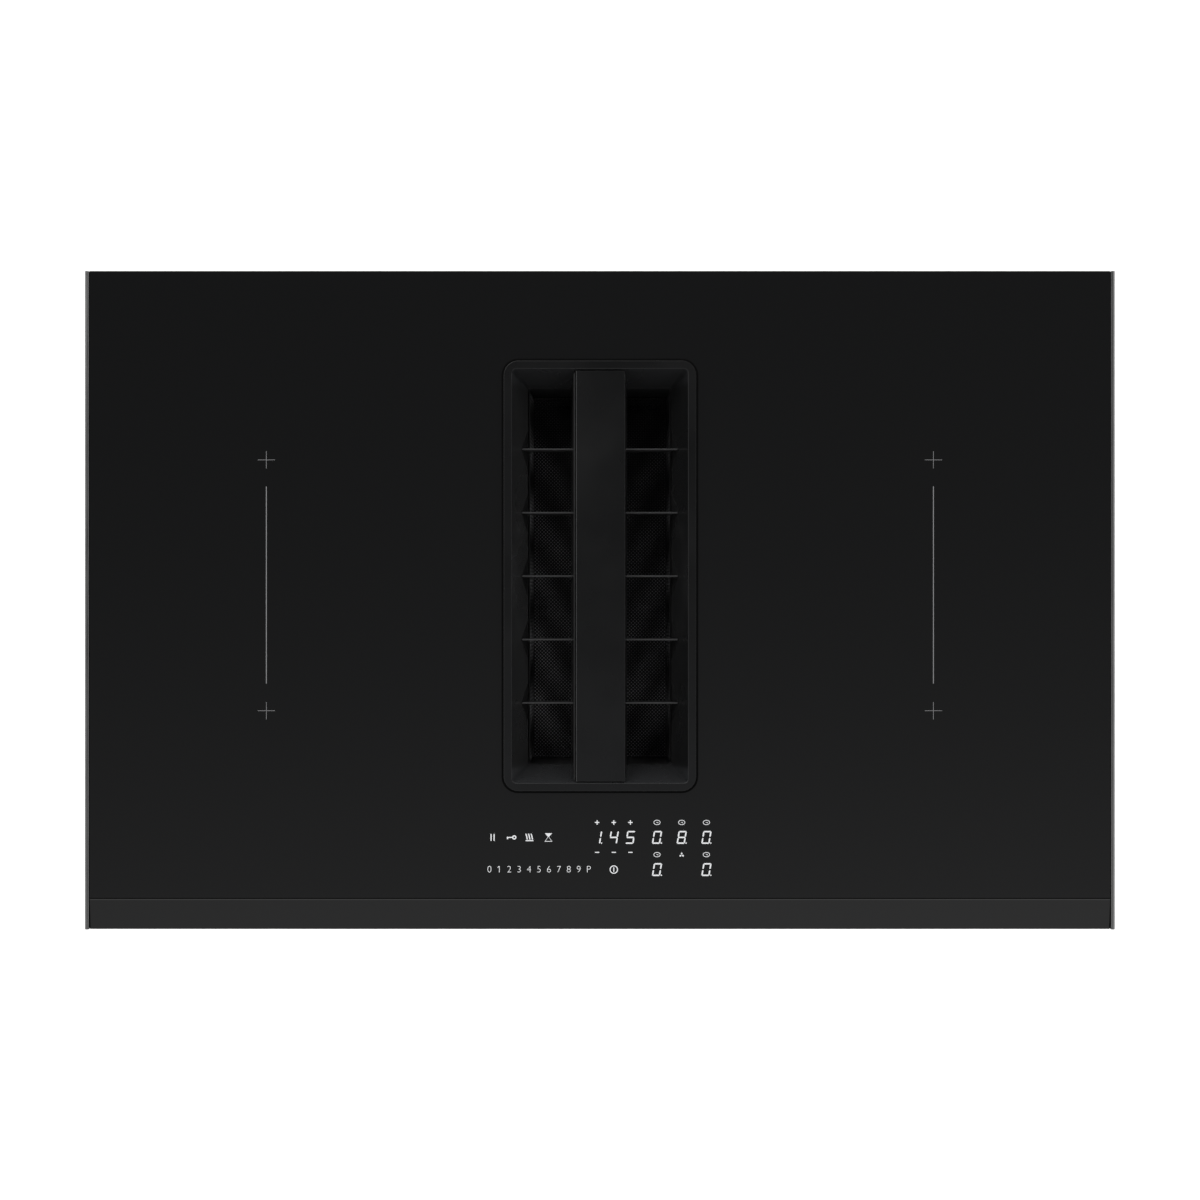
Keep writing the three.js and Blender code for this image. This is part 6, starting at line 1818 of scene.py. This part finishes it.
class COOKTOP_OT_case(Builder, bpy.types.Operator):
    """Finishes the fan case with its ribs, rims and hatch, its bottom cover and the drip tray"""

    bl_idname = "cooktop.case"
    bl_label = "Fan Case"

    corner = 10 * MM
    rib_thick = 2 * MM
    rib_out = 1.4 * MM
    hatch_thick = 3.2 * MM
    hatch_height = 105 * MM

    def build(self, sizes, finishes):
        low, high, centre = box("fan_case")
        dress(finishes["plastic"], "fan_case", "drip_tray", edge=sizes.mould_edge)
        dress(finishes["zinc"], "bottom_cover", edge=sizes.sheet_edge)
        self.rims(low, high, centre, finishes)
        self.ribs(low, high, finishes)
        self.hatch(low, high, centre, finishes)
        self.cover(finishes)
        self.drip_tray_ribs(finishes)

    def rims(self, low, high, centre, finishes):
        """A rim round the case's lower and upper edge."""
        half_x, half_y = (high.x - low.x) / 2, (high.y - low.y) / 2
        for name, z, height, out in (
            ("lower", low.z + 1 * MM, 5 * MM, 2.2 * MM),
            ("upper", high.z - 6 * MM, 4 * MM, 1.6 * MM),
        ):
            bm = bmesh.new()
            sections = [(-0.5 * MM, z), (out, z + FLUSH), (out, z + height), (-0.5 * MM, z + height - FLUSH)]
            loft(
                bm,
                [(half_x + grown, half_y + grown, self.corner + grown, level) for grown, level in sections],
                centre=(centre.x, centre.y),
            )
            piece(bm, f"case_rim_{name}", HOUSING, finishes["plastic"], edge=0.4 * MM)

    def ribs(self, low, high, finishes):
        """Upright ribs on the four walls, clear of the outlet."""
        thick, out = self.rib_thick, self.rib_out
        foot, top = low.z + 8 * MM, high.z - 10 * MM
        bm = bmesh.new()
        for y in evenly(low.y + 30 * MM, high.y - 30 * MM, 8):
            block(bm, (low.x - out, y - thick / 2, foot), (low.x + MM, y + thick / 2, top))
            block(bm, (high.x - MM, y - thick / 2, foot), (high.x + out, y + thick / 2, top))
        for x in evenly(low.x + 35 * MM, high.x - 35 * MM, 8):
            block(bm, (x - thick / 2, low.y - out, foot), (x + thick / 2, low.y + MM, top))
        collar = box("outlet_collar")[0].x
        for x in evenly(low.x + 35 * MM, collar - 25 * MM, 4):
            block(bm, (x - thick / 2, high.y - MM, foot), (x + thick / 2, high.y + out, top))
        piece(bm, "case_ribs", HOUSING, finishes["plastic"], edge=0.3 * MM, weld=False)

    def hatch(self, low, high, centre, finishes):
        """A screwed hatch over the motor's plug, on the right wall."""
        wall, thick = high.x - 0.5 * MM, self.hatch_thick
        middle = Vector((wall, centre.y, low.z + self.hatch_height))
        bm = bmesh.new()
        face = rounded_face(bm, 24 * MM, 42 * MM, 5 * MM, 0.0)
        place = Matrix.Translation(middle) @ Matrix.Rotation(math.pi / 2, 4, "Y")
        bmesh.ops.transform(bm, matrix=place, verts=list(face.verts))
        raise_faces(bm, [face], (thick, 0.0, 0.0))
        piece(bm, "case_hatch", HOUSING, finishes["plastic"], edge=0.3 * MM)
        places = [
            (wall + thick, middle.y + across * 36 * MM, middle.z + up * 18 * MM)
            for _, across in SIDES
            for _, up in SIDES
        ]
        screws("case_hatch_screws", finishes["screw"], places, (1.0, 0.0, 0.0), MIDDLE_SCREW)

    def cover(self, finishes):
        """Screws and beads on the underside of the bottom cover."""
        low, high, _ = box("bottom_cover")
        sheet = high.z - 1.5 * MM
        xs = evenly(low.x + 45 * MM, high.x - 45 * MM, 5)
        ys = (low.y + 7 * MM, high.y - 7 * MM)
        places = [(x, y, sheet) for x in xs for y in ys]
        sides = (low.x + 7 * MM, high.x - 7 * MM)
        places += [(x, y, sheet) for x in sides for y in evenly(-110 * MM, 130 * MM, 3)]
        screws("cover_screws", finishes["screw"], places, DOWN)
        bm = bmesh.new()
        for x in (132 * MM, 248 * MM):
            for y in evenly(-140 * MM, 160 * MM, 6):
                ends = ((x - 38 * MM, y, sheet), (x + 38 * MM, y, sheet))
                bead(bm, *ends, 8 * MM, 0.7 * MM, DOWN)
        piece(bm, "cover_beads", HOUSING, finishes["zinc"], weld=False)

    def drip_tray_ribs(self, finishes):
        """Low ribs on the underside of the drip tray, for the fingers."""
        low, _, centre = box("drip_tray")
        bm = bmesh.new()
        for y in evenly(centre.y - 130 * MM, centre.y + 130 * MM, 14):
            block(bm, (-46 * MM, y - MM, low.z - 0.3 * MM), (46 * MM, y + MM, low.z + 0.2 * MM))
        piece(
            bm, "drip_tray_ribs", "drip_tray", finishes["plastic"],
            edge=0.1 * MM, weld=False,
        )


class COOKTOP_OT_blower(Builder, bpy.types.Operator):
    """Finishes the blower: scroll, wheel, motor with its slots, shaft, bracket and rubber mounts"""

    bl_idname = "cooktop.blower"
    bl_label = "Blower"

    slots = 18
    bolt_circle = 26 * MM

    def build(self, sizes, finishes):
        dress(finishes["plastic"], "blower_scroll", "blower_scroll_cover", edge=0.4 * MM)
        dress(finishes["white_plastic"], "blower_wheel", edge=0.2 * MM)
        dress(finishes["aluminium"], "motor_can", edge=0.3 * MM)
        dress(finishes["screw"], "motor_shaft", edge=0.3 * MM)
        dress(finishes["zinc"], "motor_bracket", edge=0.3 * MM)
        for row in ROWS:
            for name, _ in SIDES:
                dress(finishes["rubber"], f"blower_mount_{row}_{name}", edge=0.5 * MM)
        self.motor(finishes)

    def motor(self, finishes):
        """Dark strips round the can, painted shade of its vent slots, and the screws that hold it in its
        bracket.
        """
        low, high, centre = box("motor_can")
        radius = (high.x - low.x) / 2
        bm = bmesh.new()
        # Painted shade: dark strips where the can's slots would be open.
        for angle in round_about(self.slots):
            turned = Matrix.Rotation(angle, 4, "Z")
            middle = centre + turned @ Vector((radius - 0.3 * MM, 0.0, 0.0))
            block_round(bm, middle, (0.5 * MM, 1.6 * MM, 9 * MM), turned)
        piece(bm, "motor_slot_shade", HOUSING, finishes["rubber"], edge=0.2 * MM, weld=False)
        top = box("motor_bracket")[1].z
        out = self.bolt_circle
        places = [
            (centre.x + out * math.cos(angle), centre.y + out * math.sin(angle), top)
            for angle in round_about(3, 90.0)
        ]
        screws("motor_screws", finishes["screw"], places, UP)


class COOKTOP_OT_outlet(Builder, bpy.types.Operator):
    """Finishes the outlet collar with its grips and screws, and its two backdraft louvres with their ribs"""

    bl_idname = "cooktop.outlet"
    bl_label = "Outlet"

    def build(self, sizes, finishes):
        dress(finishes["plastic"], "outlet_collar", edge=0.4 * MM)
        self.collar(finishes)
        for name in ("upper", "lower"):
            dress(finishes["plastic"], f"outlet_louvre_{name}", edge=0.3 * MM)
            low, high, centre = box(f"outlet_louvre_{name}")
            y = centre.y + 1.2 * MM
            bm = bmesh.new()
            foot, top = low.z + 4 * MM, high.z - 7 * MM
            for x in evenly(low.x + 20 * MM, high.x - 20 * MM, 7):
                block(bm, (x - MM, y - 0.6 * MM, foot), (x + MM, y + 0.6 * MM, top))
            piece(
                bm, f"louvre_ribs_{name}", f"louvre_{name}", finishes["plastic"],
                edge=0.3 * MM, weld=False,
            )

    def collar(self, finishes):
        """Screws in the collar's flange, and two low ridges that grip the duct."""
        low, high, centre = box("outlet_collar")
        flange = low.y + 2 * MM
        places = [
            (centre.x + across * ((high.x - low.x) / 2 - 4.5 * MM), flange, centre.z + up * 45 * MM)
            for _, across in SIDES
            for _, up in SIDES
        ]
        places += [(centre.x, flange, z) for z in (low.z + 4.5 * MM, high.z - 4.5 * MM)]
        screws("collar_screws", finishes["screw"], places, (0.0, 1.0, 0.0), MIDDLE_SCREW)
        half_x, half_z = (high.x - low.x) / 2 - 9 * MM, (high.z - low.z) / 2 - 9 * MM
        bm = bmesh.new()
        for y in (high.y - 5 * MM, high.y - 10 * MM):
            for _, side in SIDES:
                x, z = centre.x + side * half_x, centre.z + side * half_z
                block_round(bm, (x, y, centre.z), (0.5 * MM, MM, half_z))
                block_round(bm, (centre.x, y, z), (half_x, MM, 0.5 * MM))
        piece(bm, "collar_grips", HOUSING, finishes["plastic"], edge=0.3 * MM, weld=False)


# ---- Stage ----


class COOKTOP_OT_stage(bpy.types.Operator):
    """Makes the camera straight above, the pale floor and the soft studio light"""

    bl_idname = "cooktop.stage"
    bl_label = "Stage"
    bl_options = {"REGISTER", "UNDO"}

    camera_middle = (0.1 * MM, 0.2 * MM)
    floor_half = 6.0
    key_place = (-1.0, 1.4, 1.7)
    key_aim = (0.0, 0.0, 0.2)
    key_size = 1.2

    # Places in the overhead sky, from front (0) to rear (1), and its brightness there.
    sky_stops = ((0.0, 0.95), (0.33, 0.78), (0.42, 0.385), (0.5, 0.205), (0.58, 0.155), (1.0, 0.15))

    def execute(self, context):
        studio = context.scene.cooktop_studio
        context.scene.view_settings.view_transform = "Standard"
        self.camera(context, studio)
        self.floor(context, studio)
        self.sky(context, studio)
        self.key_light(context, studio)
        return {"FINISHED"}

    def camera(self, context, studio):
        """The photo's view, straight down on the glass."""
        data = bpy.data.cameras.new("Camera")
        data.sensor_width = 36.0
        data.lens = data.sensor_width * studio.camera_height / studio.frame_width
        made = bpy.data.objects.new("Camera", data)
        made.location = (*self.camera_middle, on_glass() + studio.camera_height)
        context.scene.collection.objects.link(made)
        context.scene.camera = made

    def floor(self, context, studio):
        """A pale floor that glows a little, like lit studio paper."""
        bm = bmesh.new()
        place = Matrix.Translation((0.0, 0.0, -studio.floor_drop))
        bmesh.ops.create_grid(bm, x_segments=1, y_segments=1, size=self.floor_half, matrix=place)
        mesh = bpy.data.meshes.new("floor")
        bm.to_mesh(mesh)
        bm.free()
        made, tree, shader = start_finish("Pale Floor", studio.floor, 0.9)
        cloud = noise(tree, object_place(tree), 3.0)
        shade(tree, shader, cloud, studio.floor, 0.99, 1.01)
        shader.inputs["Emission Color"].default_value = (1.0, 1.0, 1.0, 1.0)
        shader.inputs["Emission Strength"].default_value = studio.floor_glow
        mesh.materials.append(made)
        floor = bpy.data.objects.new("floor", mesh)
        context.scene.collection.objects.link(floor)

    def sky(self, context, studio):
        """A studio sky: dim straight above and behind, brighter towards the front, and white all round."""
        world = bpy.data.worlds.new("Studio")
        world.use_nodes = True
        context.scene.world = world
        tree = world.node_tree
        background = tree.nodes["Background"]
        place = tree.nodes.new("ShaderNodeTexCoord")
        split = tree.nodes.new("ShaderNodeSeparateXYZ")
        tree.links.new(place.outputs["Generated"], split.inputs["Vector"])
        overhead = spread(tree, split.outputs["Z"], 0.0, 1.0, 0.75, 0.9)
        front = tree.nodes.new("ShaderNodeValToRGB")
        front.color_ramp.interpolation = "B_SPLINE"
        ramp = front.color_ramp.elements
        while len(ramp) < len(self.sky_stops):
            ramp.new(0.5)
        for element, (position, level) in zip(ramp, self.sky_stops):
            element.position = position
            element.color = (level, level, level, 1.0)
        tree.links.new(spread(tree, split.outputs["Y"], 0.0, 1.0, -1.0, 1.0), front.inputs["Fac"])
        across = spread(tree, split.outputs["X"], studio.zenith * 2.7, studio.zenith * 5.3, -1.0, 1.0)
        above = maths(tree, "MULTIPLY", front.outputs["Color"], across)
        beside = spread(tree, split.outputs["X"], studio.sides * 0.62, studio.sides * 0.85, -1.0, 1.0)
        around = maths(tree, "MULTIPLY", beside, spread(tree, split.outputs["Y"], 1.05, 2.2, -1.0, 1.0))
        mixed = tree.nodes.new("ShaderNodeMix")
        tree.links.new(overhead, mixed.inputs["Factor"])
        tree.links.new(around, mixed.inputs["A"])
        tree.links.new(above, mixed.inputs["B"])
        tree.links.new(mixed.outputs["Result"], background.inputs["Strength"])
        background.inputs["Color"].default_value = (1.0, 1.0, 1.0, 1.0)

    def key_light(self, context, studio):
        """A large soft lamp behind and to the left."""
        data = bpy.data.lights.new("Key", "AREA")
        data.shape = "DISK"
        data.size = self.key_size
        data.energy = studio.key
        made = bpy.data.objects.new("Key", data)
        made.location = self.key_place
        aim = Vector(self.key_aim) - made.location
        made.rotation_euler = aim.to_track_quat("-Z", "Y").to_euler()
        context.scene.collection.objects.link(made)


# ---- Add-on ----

GROUPS = {
    "cooktop_sizes": CooktopSizes,
    "cooktop_colours": CooktopColours,
    "cooktop_studio": CooktopStudio,
}

BUILDERS = (
    COOKTOP_OT_stage,
    COOKTOP_OT_glass,
    COOKTOP_OT_trims,
    COOKTOP_OT_zone_marks,
    COOKTOP_OT_touch_signs,
    COOKTOP_OT_display,
    COOKTOP_OT_slider,
    COOKTOP_OT_vent_frame,
    COOKTOP_OT_grille,
    COOKTOP_OT_filter,
    COOKTOP_OT_duct,
    COOKTOP_OT_tray,
    COOKTOP_OT_zones,
    COOKTOP_OT_boards,
    COOKTOP_OT_cooling,
    COOKTOP_OT_controls,
    COOKTOP_OT_mains,
    COOKTOP_OT_case,
    COOKTOP_OT_blower,
    COOKTOP_OT_outlet,
)


class COOKTOP_PT_panel(bpy.types.Panel):
    """Lists the builders and the values that they use"""

    bl_idname = "COOKTOP_PT_panel"
    bl_label = "Cooktop"
    bl_space_type = "VIEW_3D"
    bl_region_type = "UI"
    bl_category = "Cooktop"

    def draw(self, context):
        for builder in BUILDERS:
            self.layout.operator(builder.bl_idname)
        for name, group in GROUPS.items():
            column = self.layout.column(align=True)
            for value in group.__annotations__:
                column.prop(getattr(context.scene, name), value)


def register():
    for name, group in GROUPS.items():
        bpy.utils.register_class(group)
        setattr(bpy.types.Scene, name, PointerProperty(type=group))
    for builder in (*BUILDERS, COOKTOP_PT_panel):
        bpy.utils.register_class(builder)


def unregister():
    for builder in reversed((*BUILDERS, COOKTOP_PT_panel)):
        bpy.utils.unregister_class(builder)
    for name, group in GROUPS.items():
        delattr(bpy.types.Scene, name)
        bpy.utils.unregister_class(group)


def main():
    """Runs every builder in turn."""
    register()
    for builder in BUILDERS:
        family, _, name = builder.bl_idname.partition(".")
        getattr(getattr(bpy.ops, family), name)()


if __name__ == "__main__":
    main()
